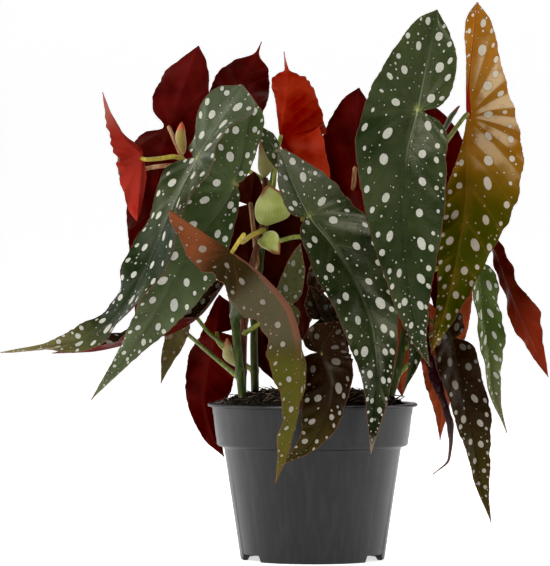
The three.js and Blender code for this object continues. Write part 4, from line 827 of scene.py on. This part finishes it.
UNDERS = {
    "olive": dict(WINE, base=(0.12, 0.03, 0.01)),
    "bronze": side((0.15, 0.07, 0.015), (0.3, 0.17, 0.06), spots=(0.7, 0.7), glow=0.15),
    # gold: its sheet tone is the beige of a highlight painted on one side of each pleat.
    "gold": side((0.37, 0.135, 0.008), (0.55, 0.28, 0.06), sheet=(0.74, 0.52, 0.28), spots=(0.95, 0.8),
                 spot=(0.88, 0.78, 0.62), glow=0.3),
    "rust": side((0.16, 0.034, 0.009), (0.24, 0.085, 0.035), spots=(0.4, 0.6), glow=0.06),
    "deep": side((0.035, 0.008, 0.006), (0.09, 0.018, 0.012), glow=0.08),
    "flame": side((0.31, 0.005, 0.001), (0.78, 0.085, 0.03), glow=0.3, tip=(0.6, 0.25, 0.2),
                  turns=(0.8, 0.95)),
    "scarlet": side((0.3, 0.008, 0.004), (0.5, 0.06, 0.04), glow=0.25, tip=(0.5, 0.15, 0.12),
                    turns=(0.4, 0.9)),
    "ember": side((0.52, 0.08, 0.03), (0.7, 0.17, 0.06), glow=0.3),
    "russet": side((0.06, 0.006, 0.003), (0.16, 0.025, 0.012), glow=0.15, tip=(0.25, 0.028, 0.01),
                   turns=(0.35, 0.75)),
}
BLACK = (0, 0, 0)
SPOT_WHITE = (0.55, 0.54, 0.45)
SILVER = (0.2, 0.22, 0.16)
NODE_YELLOW = (0.4, 0.42, 0.15)
RIM_PINK = (0.24, 0.08, 0.05)
RIDGE_RED = (0.42, 0.02, 0.012)
TURNED_RED = (0.2, 0.08, 0.05)
LEAF_SHEEN = (1, 0.95, 0.72)
UPPER_GLOW = (0.1, 0.16, 0.02)
UPPER_GLOSS = 0.14
UNDER_GLOSS = 0.035
BLADE_LENGTH = 140


def blend(a, b, share):
    return tuple(x + (y - x) * share for x, y in zip(a, b))


def spot_masks(shader):
    """The pale oval spots, and the darker ring round each."""
    u, v = shader.pair("spots")
    radius, _ = shader.pair("lie")
    reach = shader.math("SQRT", shader.math("ADD", shader.times(u, u), shader.times(v, v)))
    ragged = shader.math("MULTIPLY_ADD", shader.noise(700, 2), 0.3, reach)
    inside = shader.times(shader.math("SUBTRACT", 1.15, ragged), radius)
    from_rim, _ = shader.pair("rim")
    clear = shader.map(from_rim, 0.3, 0.9)
    spot = shader.times(shader.map(inside, -0.14, 0.14), clear)
    ring = shader.times(shader.map(inside, -1.1, -0.05), clear)
    return spot, ring


def vein_masks(shader):
    """Fine lines on the side veins and the midrib, and a soft band that widens round them, where the
    painted sheen and glints go.
    """
    index, apart = shader.pair("veins")
    _, from_midrib = shader.pair("rim")
    phase = shader.math("SUBTRACT", shader.math("FRACT", shader.math("ADD", index, 0.5)), 0.5)
    off = shader.math("ABSOLUTE", shader.times(phase, apart))
    line = shader.math("MAXIMUM", shader.map(off, 0.1, 0.5, 1, 0),
                       shader.map(from_midrib, 0.3, 1, 1, 0))
    band = shader.math("MAXIMUM", shader.map(off, 0.3, 3.4, 0.7, 0),
                       shader.map(from_midrib, 0.6, 6, 1, 0))
    return line, band


def from_stalk(shader):
    """Roughly how far a place on the blade is from the stalk, in millimetres."""
    _, share = shader.pair("lie")
    _, from_midrib = shader.pair("rim")
    along = shader.times(share, BLADE_LENGTH)
    square = shader.math("MULTIPLY_ADD", along, along, shader.times(from_midrib, from_midrib))
    return shader.math("SQRT", square)


def turned_tip(shader, colour, tones, share):
    """The blade's colour with the tone that its drip tip turns to, where its look has one."""
    if "tip" not in tones:
        return colour
    return shader.fade(colour, tones["tip"], share, *tones["turns"])


def spotted(shader, colour, tones, share):
    """The colour with its pale oval spots, each with a slightly darker ring."""
    spot, ring = spot_masks(shader)
    tone = tones.get("spot", SPOT_WHITE)
    strength = shader.map(share, 0, 0.6, *tones["spots"])
    pale = shader.mix(shader.noise(600, 3), blend(tone, BLACK, 0.35), tone)
    colour = shader.mix(shader.times(ring, 0.4), colour, blend(tones["base"], BLACK, 0.5))
    return shader.mix(shader.times(spot, strength), colour, pale)


def leaf_upper(look):
    """A dark upper side with a painted silvery sheen highlight by its veins, a star at the stalk and a
    pinkish rim.
    """
    tones = UPPERS.get(look, GREEN)
    shader = Shader(f"{look}_upper")
    from_rim, from_midrib = shader.pair("rim")
    _, share = shader.pair("lie")
    line, band = vein_masks(shader)
    colour = shader.mix(shader.patches(22, 3, 0.36, 0.7), tones["base"],
                        blend(tones["base"], tones["light"], 0.5))
    # The lobe lightens: partly a paler lobe, and on the tipped look a painted sheen highlight.
    colour = shader.fade(colour, tones.get("lobe", tones["light"]), share, 0.1, -0.3, 0, 0.45)
    colour = turned_tip(shader, colour, tones, share)
    away = from_stalk(shader)
    # Painted sheen: a silvery highlight painted in soft bands round the veins and midrib, fading away from
    # the stalk.
    sheen = shader.times(band, shader.patches(55, 4, 0.35, 0.7, 0.1, 0.75))
    sheen = shader.times(sheen, shader.map(away, 8, 52, 1, 0.1))
    colour = shader.mix(sheen, colour, tones.get("painted_sheen", tones["light"]))
    starred = 0.8 * tones["spots"][0] ** 2
    streak = shader.times(shader.map(from_midrib, 0.15, 0.55, 1, 0),
                          shader.map(away, 4, 40, starred, 0.04))
    colour = shader.mix(streak, colour, SILVER)
    ray = shader.times(line, shader.map(away, 1, 6, 0.5 * starred, 0))
    colour = shader.mix(ray, colour, NODE_YELLOW)
    colour = spotted(shader, colour, tones, share)
    colour = shader.fade(colour, NODE_YELLOW, away, 0.6, 1.8, starred, 0)
    colour = shader.fade(colour, RIM_PINK, from_rim, 0.1, 0.5, 0.55, 0)
    height = shader.math("MULTIPLY_ADD", line, -0.8, shader.noise(1100, 2))
    normal = shader.bump(height, 0.4, 0.00035)
    roughness = shader.patches(240, 2, 0.3, 0.7, 0.2, 0.34)
    return shader.finish(colour, roughness, normal, tones.get("gloss", UPPER_GLOSS), LEAF_SHEEN,
                         glow=0.05, glow_colour=UPPER_GLOW)


def tint_gold(shader, colour, tones, share):
    """Golden lobe with beige highlights painted on one side of each pleat between its veins, olive green
    towards the drip tip.
    """
    index, apart = shader.pair("veins")
    _, from_midrib = shader.pair("rim")
    ragged = shader.math("MULTIPLY_ADD", shader.noise(26, 3), 0.3, share)
    colour = shader.fade(colour, (0.11, 0.08, 0.003), ragged, 0.2, 0.6)
    colour = shader.fade(colour, (0.068, 0.076, 0.005), ragged, 0.3, 0.7)
    # Painted highlight: one side of each pleat between the veins is painted beige, on the broad half, away
    # from the midrib and fading out towards the middle of the blade.
    wave = shader.math("SINE", shader.times(index, 2 * pi))
    sheet = shader.times(shader.map(wave, -0.5, 0.15), shader.map(ragged, 0.26, 0.42, 0.95, 0))
    sheet = shader.times(sheet, shader.patches(34, 3, 0.4, 0.52))
    beside = shader.times(shader.map(from_midrib, 1, 9), shader.map(share, -0.37, -0.22))
    beside = shader.times(beside, shader.math("GREATER_THAN", apart, 0))
    return shader.mix(shader.times(sheet, beside), colour, tones["sheet"])


def gold_ridge(shader, colour, share, from_midrib):
    """A red ridge along the midrib of the lobe, widest at the stalk."""
    reach = shader.map(share, -0.17, 0, 0.2, 2.6)
    ridge = shader.math("LESS_THAN", from_midrib, reach)
    ridge = shader.times(ridge, shader.map(share, 0.012, 0))
    return shader.mix(ridge, colour, RIDGE_RED)


def tint_rust(shader, colour, share):
    """Orange-brown lobe; beyond the stalk a dark brown blade, painted shade of its fold, with a grey
    painted glossy reflection across its middle and a red band along its fold; an olive drip tip.
    """
    _, from_midrib = shader.pair("rim")
    # Painted shade: the blade turns dark brown from the stalk on, for the shade in its fold.
    colour = shader.fade(colour, (0.03, 0.02, 0.007), share, -0.14, 0)
    # Painted reflection: a grey glossy wedge across the middle of the blade.
    grey = shader.times(shader.map(share, 0.08, 0.2), shader.map(share, 0.55, 0.4))
    colour = shader.mix(grey, colour, (0.09, 0.078, 0.042))
    colour = shader.fade(colour, (0.078, 0.074, 0.012), share, 0.42, 0.56)
    ragged = shader.math("MULTIPLY_ADD", shader.noise(90, 3), 3, from_midrib)
    inner = shader.math("SUBTRACT", ragged, shader.map(share, 0, 0.3, 2.2, 5.4))
    turned = shader.times(shader.map(share, -0.03, 0.04), shader.map(share, 0.5, 0.4))
    turned = shader.times(turned, shader.map(inner, -0.5, 0.5, 0.85, 0))
    return shader.mix(turned, colour, TURNED_RED)


def leaf_under(look):
    """An underside, red in most, that glows where light comes through, with raised veins, glints painted
    along them and a pale rim.
    """
    tones = UNDERS.get(look, WINE)
    shader = Shader(f"{look}_under")
    from_rim, from_midrib = shader.pair("rim")
    _, share = shader.pair("lie")
    line, band = vein_masks(shader)
    half_light = blend(tones["base"], tones["light"], 0.45)
    colour = shader.mix(shader.patches(34, 3, 0.36, 0.64), tones["base"], half_light)
    if look == "gold":
        colour = tint_gold(shader, colour, tones, share)
    if look == "rust":
        colour = tint_rust(shader, colour, share)
    colour = turned_tip(shader, colour, tones, share)
    # Painted glints: lighter patches painted in the soft band along the veins and midrib, as highlights.
    painted_glint = shader.times(band, shader.patches(60, 3, 0.4, 0.7, 0, 0.5))
    colour = shader.mix(painted_glint, colour, shader.mix(0.5, colour, half_light))
    colour = shader.mix(shader.times(line, 0.3), colour, shader.mix(0.4, colour, tones["light"]))
    if "spots" in tones:
        colour = spotted(shader, colour, tones, share)
    if look == "gold":
        colour = gold_ridge(shader, colour, share, from_midrib)
    edge = 0.9 if look == "rust" else 0.5
    colour = shader.fade(colour, RIM_PINK, from_rim, 0.1, edge, 0.5, 0)
    height = shader.math("MULTIPLY_ADD", line, 1.2, shader.noise(1000, 2))
    normal = shader.bump(height, 0.4, 0.00035)
    roughness = shader.patches(240, 2, 0.3, 0.7, 0.26, 0.4)
    return shader.finish(colour, roughness, normal, UNDER_GLOSS, LEAF_SHEEN,
                         glow=tones["glow"], glow_colour=colour)


def bark(name, base, light, speck):
    """Smooth bark, streaked along the stem and flecked with small pale pores."""
    shader = Shader(name)
    stretched = shader.drawn_out(0.18)
    streaks = shader.map(shader.noise(520, 3, stretched), 0.35, 0.7)
    colour = shader.mix(streaks, base, light)
    colour = shader.mix(shader.flecks(stretched, 420, 0.14, 0.24, 0.5), colour, speck)
    return shader.finish(colour, 0.42, shader.bump(streaks, 0.25, 0.0002), 0.2, LEAF_SHEEN)


# Tones of stalks and of canes: base, light and the specks
STALKS = {
    "green": ((0.16, 0.2, 0.03), (0.34, 0.36, 0.08), (0.42, 0.4, 0.2)),
    "deep": ((0.09, 0.115, 0.02), (0.2, 0.22, 0.05), (0.3, 0.3, 0.14)),
    "tan": ((0.26, 0.11, 0.045), (0.42, 0.24, 0.12), (0.5, 0.36, 0.2)),
    "straw": ((0.34, 0.27, 0.035), (0.52, 0.38, 0.07), (0.5, 0.4, 0.2)),
}
BARKS = {
    "green": ((0.022, 0.038, 0.008), (0.055, 0.08, 0.018), (0.22, 0.23, 0.12)),
    "brown": ((0.07, 0.022, 0.01), (0.15, 0.055, 0.025), (0.3, 0.2, 0.12)),
    "olive": ((0.03, 0.04, 0.01), (0.07, 0.08, 0.022), (0.24, 0.22, 0.12)),
}


def make_leaves():
    stalks = {name: bark(f"stalk_{name}", *tones) for name, tones in STALKS.items()}
    uppers = {look: leaf_upper(look) for look in LOOKS}
    unders = {look: leaf_under(look) for look in LOOKS}
    for number, (name, leaf) in enumerate(LEAVES.items()):
        form = Form()
        place = LeafFrame(leaf)
        add_blade(form, leaf, place, number + 1)
        add_stalk(form, leaf, place)
        materials = [uppers[leaf.look], unders[leaf.look], stalks[leaf.stalk]]
        piece = form.build(f"begonia_{name}", materials, mapped=True)
        weld(piece)
        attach(piece, "root")
        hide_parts(f"leaf_{name}")


def make_canes():
    barks = {name: bark(f"bark_{name}", *tones) for name, tones in BARKS.items()}
    worn = {"green": "green", "brown": "brown", "right": "green"}
    for name, (_, path) in CANES.items():
        places = seen(path)
        foot = np.array([[places[0, 0], places[0, 1], CANE_FOOT]])
        heights = np.linspace(places[0, 2], places[-1, 2], 60)
        centres = route(np.concatenate([foot, cane_point(name, heights[::8])]), CANE_STEPS)
        form = Form()
        tube(form, centres, cane_radius(name, centres[:, 2]), CANE_SIDES, 0)
        piece = form.build(f"stem_{name}", [barks[worn.get(name, "olive")]])
        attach(piece, "root")
        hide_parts(f"cane_{name}")


# Stipules: small cupped bracts at the joints of the canes. half: half width. fold: how far the sides curl.
Bract = namedtuple("Bract", "half fold path face look")
BRACTS = {
    "large": Bract(12.6, -18, [[-32, 222, 8], [-27, 229, -8], [-26, 238, -14], [-29, 249, -9]],
        [0, -1, 0], "lime"),
    "lower": Bract(7, 20, [[-35, 215, 8], [-27, 211, -6], [-22, 203, -10]], [-0.3, -1, 0.3], "lime"),
    "pod": Bract(6, -30, [[-32, 254, 13], [-31, 265, 4], [-34, 279, 3]], [0, -1, 0], "pod"),
    "dark": Bract(8, -20, [[-52, 158, -13], [-47, 166, -24], [-56, 177, -27]], [-0.2, -1, -0.3], "moss"),
    "left_bud": Bract(4, -35, [[-86, 270, 10], [-88, 281, 4], [-87, 291, 0]], [0, -1, 0], "bud"),
    "sheath": Bract(4, -30, [[-50, 128, -17], [-57, 137, -19], [-57, 147, -17]], [-0.2, -1, 0], "pod"),
    "right_bud": Bract(1.8, -20, [[86, 282, 10], [92, 294, 7], [98, 302, 4]], [0, -1, 0], "moss"),
}
BRACT_COLOURS = {
    "lime": ((0.34, 0.42, 0.06), (0.64, 0.66, 0.26), (0.3, 0.06, 0.025)),
    "pod": ((0.27, 0.24, 0.07), (0.44, 0.4, 0.17), (0.3, 0.1, 0.04)),
    "moss": ((0.035, 0.05, 0.012), (0.08, 0.1, 0.03), (0.2, 0.06, 0.03)),
    "bud": ((0.3, 0.24, 0.05), (0.45, 0.33, 0.09), (0.6, 0.1, 0.03)),
}
BRACT_HALF_THICKNESS = 0.3
BRACT_ROWS = 40


def bract_material(look):
    """Papery and ribbed, paler at its rim and blushed at its tip."""
    base, light, tip = BRACT_COLOURS[look]
    shader = Shader(f"bract_{look}")
    across, along = shader.pair("lie")
    ribs = shader.math("SINE", shader.times(across, 40))
    streak = shader.map(shader.math("MULTIPLY_ADD", shader.noise(120, 3), 9, ribs), 1, 8)
    colour = shader.mix(streak, base, light)
    from_rim, _ = shader.pair("rim")
    colour = shader.fade(colour, blend(light, (1, 1, 1), 0.3), from_rim, 0.2, 1.2, 0.7, 0)
    blush = shader.times(shader.map(along, 0.62, 0.8), shader.map(from_rim, 1.2, 3.4, 1, 0))
    colour = shader.mix(blush, colour, tip)
    return shader.finish(colour, 0.42, shader.bump(streak, 0.1, 0.0003), 0.35, glow=0.3, glow_colour=light)


def add_bract(form, bract):
    q = np.linspace(-1, 1, COLUMNS)
    share = np.linspace(0, 1, BRACT_ROWS)
    points = seen(bract.path)
    along = unit(points[-1] - points[0])
    face = unit(np.array(bract.face, float))
    up = unit(face - along * np.dot(face, along))
    across = np.cross(along, up)
    centre = flow(np.linspace(0, 1, len(points)), points, share)
    fold = radians(bract.fold)
    half = np.maximum(bract.half * np.sin(pi * share ** 0.8).clip(0) ** 0.7, 0.3)
    grid = np.zeros((len(share), COLUMNS, 3))
    for j, value in enumerate(q):
        out = abs(value)
        curl = half * out ** 2 * sin(fold) + 0.35 * out ** 3 * np.sin(share * 17 + value * 4)
        shift = half * value * cos(fold * out)
        grid[:, j] = centre + across * shift[:, None] + up * curl[:, None]
    top, bottom = two_sides(grid, up, BRACT_HALF_THICKNESS)
    lie = np.stack([np.tile(q, len(share)), np.repeat(share, COLUMNS)], 1)
    rim = np.stack([(1 - np.abs(lie[:, 0])) * np.repeat(half, COLUMNS), lie[:, 0]], 1)
    quads = grid_faces(len(share), range(COLUMNS - 1))
    form.add(top, quads, 0, lie=lie, rim=rim)
    form.add(bottom, [quad[::-1] for quad in quads], 0, lie=lie, rim=rim)
    add_edge(form, top, bottom, len(share), lie=lie, rim=rim)


def make_bracts():
    materials = {look: bract_material(look) for look in BRACT_COLOURS}
    for name, bract in BRACTS.items():
        form = Form()
        add_bract(form, bract)
        piece = form.build(f"bract_{name}", [materials[bract.look]], mapped=True)
        weld(piece)
        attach(piece, "root")
        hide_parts(f"stipule_{name}")


def pot_section():
    """Radii and heights from the middle of the underside, up the outside, over the lip and down inside."""
    low = POT_HEIGHT - LIP_THICKNESS
    floor = RAISED_FLOOR + FLOOR_THICKNESS
    return [
        (0, 0), (19.5, 0), (20.5, 0.3), (23, RAISED_FLOOR), (43, RAISED_FLOOR), (44.6, 0.4), (45.4, 0),
        (47.3, 0), (48, 0.7), (58.85, 73.6), (59.2, 74.3), (60.3, 74.9), (62.6, 75.6), (63.4, 76.3),
        (63.7, 77.4), (64.15, 81.5), (64.45, 82.2), (66.1, 96.4), (66.5, 97.2), (66.75, 100.6),
        (67.2, low - 0.2), (68.6, low), (69.7, low + 0.4), (LIP_RADIUS, low + 1.2), (69.7, low + 2),
        (69, POT_HEIGHT), (65.6, POT_HEIGHT), (65.1, POT_HEIGHT - 0.4),
        (BAND_FOOT_RADIUS - POT_WALL, BAND_FOOT_HEIGHT + 1.2),
        (BODY_TOP_RADIUS - POT_WALL, BAND_FOOT_HEIGHT - 0.6), (BODY_FOOT_RADIUS - POT_WALL, floor),
        (23, floor), (20, FLOOR_THICKNESS), (0, FLOOR_THICKNESS),
    ]


def notched(radius, height, bearing):
    """A point of the section, raised where it lies in a notch of the foot ring."""
    off = min(abs((bearing - notch + 180) % 360 - 180) for notch in NOTCH_BEARINGS)
    if off < NOTCH_ANGLE / 2 and radius > 43.5 and height < 1.5:
        return min(radius, 48.4), NOTCH_HEIGHT + (0.3 if radius > 47 else 0)
    return radius, height


def add_pot(form):
    section = pot_section()
    points = []
    for k in range(POT_SIDES):
        bearing = k * 360 / POT_SIDES
        for place in section:
            radius, height = notched(*place, bearing)
            points.append(on_circle(radius, radians(bearing), height))
    faces = []
    for k in range(POT_SIDES):
        here = k * len(section)
        there = (k + 1) % POT_SIDES * len(section)
        for i in range(len(section) - 1):
            if section[i][0] == 0:
                faces.append((here, there + i + 1, here + i + 1))
            elif section[i + 1][0] == 0:
                faces.append((here + i, there + i, here + i + 1))
            else:
                faces.append((here + i, there + i, there + i + 1, here + i + 1))
    form.add(points, faces, 0)


def make_pot():
    form = Form()
    add_pot(form)
    piece = form.build("nursery_pot", [pot_material()])
    weld(piece)
    pierce(piece)
    soft = piece.modifiers.new("edges", "BEVEL")
    soft.width = EDGE_BEVEL * MM
    soft.segments = 2
    soft.limit_method = "ANGLE"
    soft.angle_limit = radians(38)
    soft.harden_normals = True
    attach(piece, "root")
    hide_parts("pot")


def pierce(piece):
    """Cuts the drainage holes through the raised floor."""
    form = Form()
    for k in range(HOLE_COUNT):
        angle = 2 * pi * (k + 0.5) / HOLE_COUNT
        foot = on_circle(HOLE_RING, angle, RAISED_FLOOR - 2)
        head = on_circle(HOLE_RING, angle, RAISED_FLOOR + FLOOR_THICKNESS + 2)
        tube(form, [foot, head], [HOLE_RADIUS] * 2, 32, 0)
    cutter = form.build("cutter", list(piece.data.materials))
    cut = piece.modifiers.new("holes", "BOOLEAN")
    cut.operation = "DIFFERENCE"
    cut.object = cutter
    bpy.context.view_layer.update()
    whole = piece.evaluated_get(bpy.context.evaluated_depsgraph_get())
    piece.data = bpy.data.meshes.new_from_object(whole)
    piece.modifiers.clear()
    bpy.data.objects.remove(cutter)


def pot_material():
    """Grey recycled plastic: a dry moulded surface, faint upright scuffs and a little dust."""
    shader = Shader("pot_plastic")
    scuffs = shader.map(shader.noise(260, 4, shader.drawn_out(0.06)), 0.42, 0.72)
    cloud = shader.patches(24, 4, 0.3, 0.75)
    colour = shader.mix(cloud, (0.0054, 0.0057, 0.0063), (0.0082, 0.0087, 0.0095))
    colour = shader.mix(shader.times(scuffs, 0.25), colour, (0.034, 0.036, 0.039))
    dust = shader.patches(1400, 2, 0.62, 0.75, 0, 0.3)
    colour = shader.mix(dust, colour, (0.07, 0.07, 0.072))
    grain = shader.math("MULTIPLY_ADD", scuffs, 0.3, shader.noise(1900, 3))
    roughness = shader.map(cloud, 0, 1, 0.36, 0.44)
    return shader.finish(colour, roughness, shader.bump(grain, 0.3, 0.0002), 0.31)


def soil_height(radius, angle):
    share = np.interp(radius, (0, 14, 30, 46, 58, 64.5), (0.92, 0.95, 1, 0.85, 0.45, 0))
    x, y, _ = on_circle(radius, angle, 0)
    uneven = 1.5 * rough(x / 9, y / 9, 3.1) + 0.9 * rough(x / 3, y / 3, 8.4)
    calm = min(1, (64.7 - radius) / 4)
    return SOIL_RIM + SOIL_HEAP * share + calm * uneven - 0.6


def add_soil(form):
    """The heaped surface, ring by ring from its middle, and the fill's wall and underside in the pot."""
    wall = POT_WALL + 1
    low = [
        (BAND_FOOT_RADIUS - wall, BAND_FOOT_HEIGHT + 4),
        (BODY_TOP_RADIUS - wall, BAND_FOOT_HEIGHT - 1.5),
        (BODY_FOOT_RADIUS - wall, RAISED_FLOOR + FLOOR_THICKNESS + 0.4),
    ]
    angles = [2 * pi * k / SOIL_SIDES for k in range(SOIL_SIDES)]
    points = [(0, 0, soil_height(0, 0))]
    for radius in (SOIL_MIDDLE + SOIL_REACH * k / SOIL_RINGS for k in range(SOIL_RINGS + 1)):
        points += [on_circle(radius, angle, soil_height(radius, angle)) for angle in angles]
    for radius, height in low:
        points += [on_circle(radius, angle, height) for angle in angles]
    last = len(points) - SOIL_SIDES
    faces = [(0, 1 + k, 1 + (k + 1) % SOIL_SIDES) for k in range(SOIL_SIDES)]
    for start in range(1, last, SOIL_SIDES):
        faces += [(a, d, c, b) for a, b, c, d in belt(start, start + SOIL_SIDES, SOIL_SIDES)]
    faces.append(tuple(range(last, len(points)))[::-1])
    form.add(points, faces, 0)


def strewn(draw, reach):
    radius = reach * sqrt(draw.random())
    angle = draw.uniform(0, 2 * pi)
    return np.array(on_circle(radius, angle, soil_height(radius, angle)))


CRUMB = [(1, 0, 0), (-1, 0, 0), (0, 1, 0), (0, -1, 0), (0, 0, 1), (0, 0, -1)]
CRUMB_FACES = [(0, 2, 4), (2, 1, 4), (1, 3, 4), (3, 0, 4), (2, 0, 5), (1, 2, 5), (3, 1, 5), (0, 3, 5)]


def add_crumb(form, draw):
    place = strewn(draw, CRUMB_REACH)
    size = draw.uniform(0.5, 1.9)
    stretch = np.array([draw.uniform(0.6, 1.5), draw.uniform(0.6, 1.3), draw.uniform(0.4, 0.9)])
    turn = draw.uniform(0, pi)
    spin = np.array([[cos(turn), -sin(turn), 0], [sin(turn), cos(turn), 0], [0, 0, 1]])
    corners = np.array([[v * draw.uniform(0.75, 1.2) for v in corner] for corner in CRUMB])
    form.add((corners * stretch * size) @ spin.T + place, CRUMB_FACES, 0)


def add_fibre(form, draw):
    place = strewn(draw, FIBRE_REACH)
    heading = draw.uniform(0, 2 * pi)
    lift = draw.uniform(-0.1, 0.55)
    length = draw.uniform(3, 11)
    step = np.array(on_circle(1, heading, lift)) * length / 4
    bend = np.array([draw.uniform(-1, 1), draw.uniform(-1, 1), draw.uniform(-0.6, 0.2)]) * length / 22
    centres = [place + step * k + bend * k * k for k in range(5)]
    tube(form, centres, [draw.uniform(0.18, 0.4)] * 4 + [0.08], 5, 1)


def make_soil():
    form = Form()
    add_soil(form)
    draw = random.Random(SEED)
    for _ in range(CRUMB_COUNT):
        add_crumb(form, draw)
    for _ in range(FIBRE_COUNT):
        add_fibre(form, draw)
    piece = form.build("potting_mix", [soil_material(), fibre_material()])
    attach(piece, "root")
    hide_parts("soil")


def soil_material():
    """Dark damp peat with lighter bits."""
    shader = Shader("peat")
    colour = shader.mix(shader.patches(330, 5, 0.3, 0.75), (0.003, 0.0022, 0.0018),
                        (0.013, 0.009, 0.006))
    bits = shader.flecks(shader.place(), 520, 0.1, 0.25, 0.3)
    colour = shader.mix(bits, colour, (0.045, 0.03, 0.018))
    return shader.finish(colour, 0.9, shader.bump(shader.noise(800, 5), 0.8, 0.0008), 0.15)


def fibre_material():
    shader = Shader("peat_fibre")
    patches = shader.patches(90, 2, 0.35, 0.65)
    return shader.finish(shader.mix(patches, (0.03, 0.017, 0.009), (0.16, 0.1, 0.05)), 0.85)


# Stage: a pale seamless sweep that ends well behind the plant, so that it can be seen from behind as well,
# and soft light from all around. In metres.
SWEEP_FRONT = -8.0
SWEEP_BEND = 3.2
SWEEP_RADIUS = 1.6
SWEEP_TOP = 9.0
SWEEP_HALF = 10.0
SWEEP_GLOW = 0.64
WORLD_LIGHT = 0.08
BLACK_LEVEL = 0.0025
# Softboxes: place, size and power in watts
SOFTBOXES = {
    "key": ((-1.0, -1.3, 1.5), (0.8, 0.8), 26),
    "left": ((-1.5, 0.1, 0.5), (0.8, 1.4), 16),
    "right": ((1.5, 0.1, 0.5), (0.8, 1.4), 13),
    "fill": ((1.3, -1.5, 0.9), (1.0, 1.0), 5),
    "back": ((0.2, 1.2, 1.5), (1.6, 0.8), 16),
}
AIM = (-0.02, 0, 0.2)


def make_stage():
    turns = np.linspace(0.1, pi / 2, 16)
    profile = [(SWEEP_FRONT, 0.0), (SWEEP_BEND, 0.0)]
    profile += [(SWEEP_BEND + SWEEP_RADIUS * sin(a), SWEEP_RADIUS * (1 - cos(a))) for a in turns]
    profile += [(SWEEP_BEND + SWEEP_RADIUS, SWEEP_TOP)]
    points = [(x, y, z) for y, z in profile for x in (-SWEEP_HALF, SWEEP_HALF)]
    faces = [(2 * i, 2 * i + 1, 2 * i + 3, 2 * i + 2) for i in range(len(profile) - 1)]
    mesh = bpy.data.meshes.new("sweep")
    mesh.from_pydata(points, [], faces)
    mesh.polygons.foreach_set("use_smooth", [True] * len(faces))
    shader = Shader("pale_sweep")
    shader.finish((0.85, 0.85, 0.85), 0.8)
    lit = shader.tree.nodes["Principled BSDF"].inputs
    lit["Emission Color"].default_value = (1, 1, 1, 1)
    lit["Emission Strength"].default_value = SWEEP_GLOW
    mesh.materials.append(shader.material)
    new_object("sweep", mesh)


def make_lights():
    world = bpy.data.worlds.new("studio")
    world.use_nodes = True
    background = world.node_tree.nodes["Background"]
    background.inputs[0].default_value = (1, 1, 1, 1)
    background.inputs[1].default_value = WORLD_LIGHT
    scene.world = world
    for name, (place, size, watts) in SOFTBOXES.items():
        data = bpy.data.lights.new(name, "AREA")
        data.shape = "RECTANGLE"
        data.size, data.size_y = size
        data.energy = watts
        lamp = new_object(name, data)
        lamp.location = place
        lamp.rotation_euler = (Vector(AIM) - Vector(place)).to_track_quat("-Z", "Y").to_euler()
    view = scene.view_settings
    view.view_transform = "Standard"
    view.use_curve_mapping = True
    view.curve_mapping.black_level = (BLACK_LEVEL,) * 3
    view.curve_mapping.update()


def make_camera():
    data = bpy.data.cameras.new("eye")
    data.sensor_width = SENSOR
    data.sensor_fit = "AUTO"
    data.lens = SENSOR * -EYE[1] / PHOTO_HEIGHT_MM
    data.clip_end = SIGHT_END
    camera = new_object("eye", data)
    camera.location = EYE * MM
    camera.rotation_euler = (pi / 2, 0, 0)
    bpy.context.scene.camera = camera


make_camera()
make_stage()
make_lights()
make_pot()
make_soil()
make_canes()
make_bracts()
make_leaves()
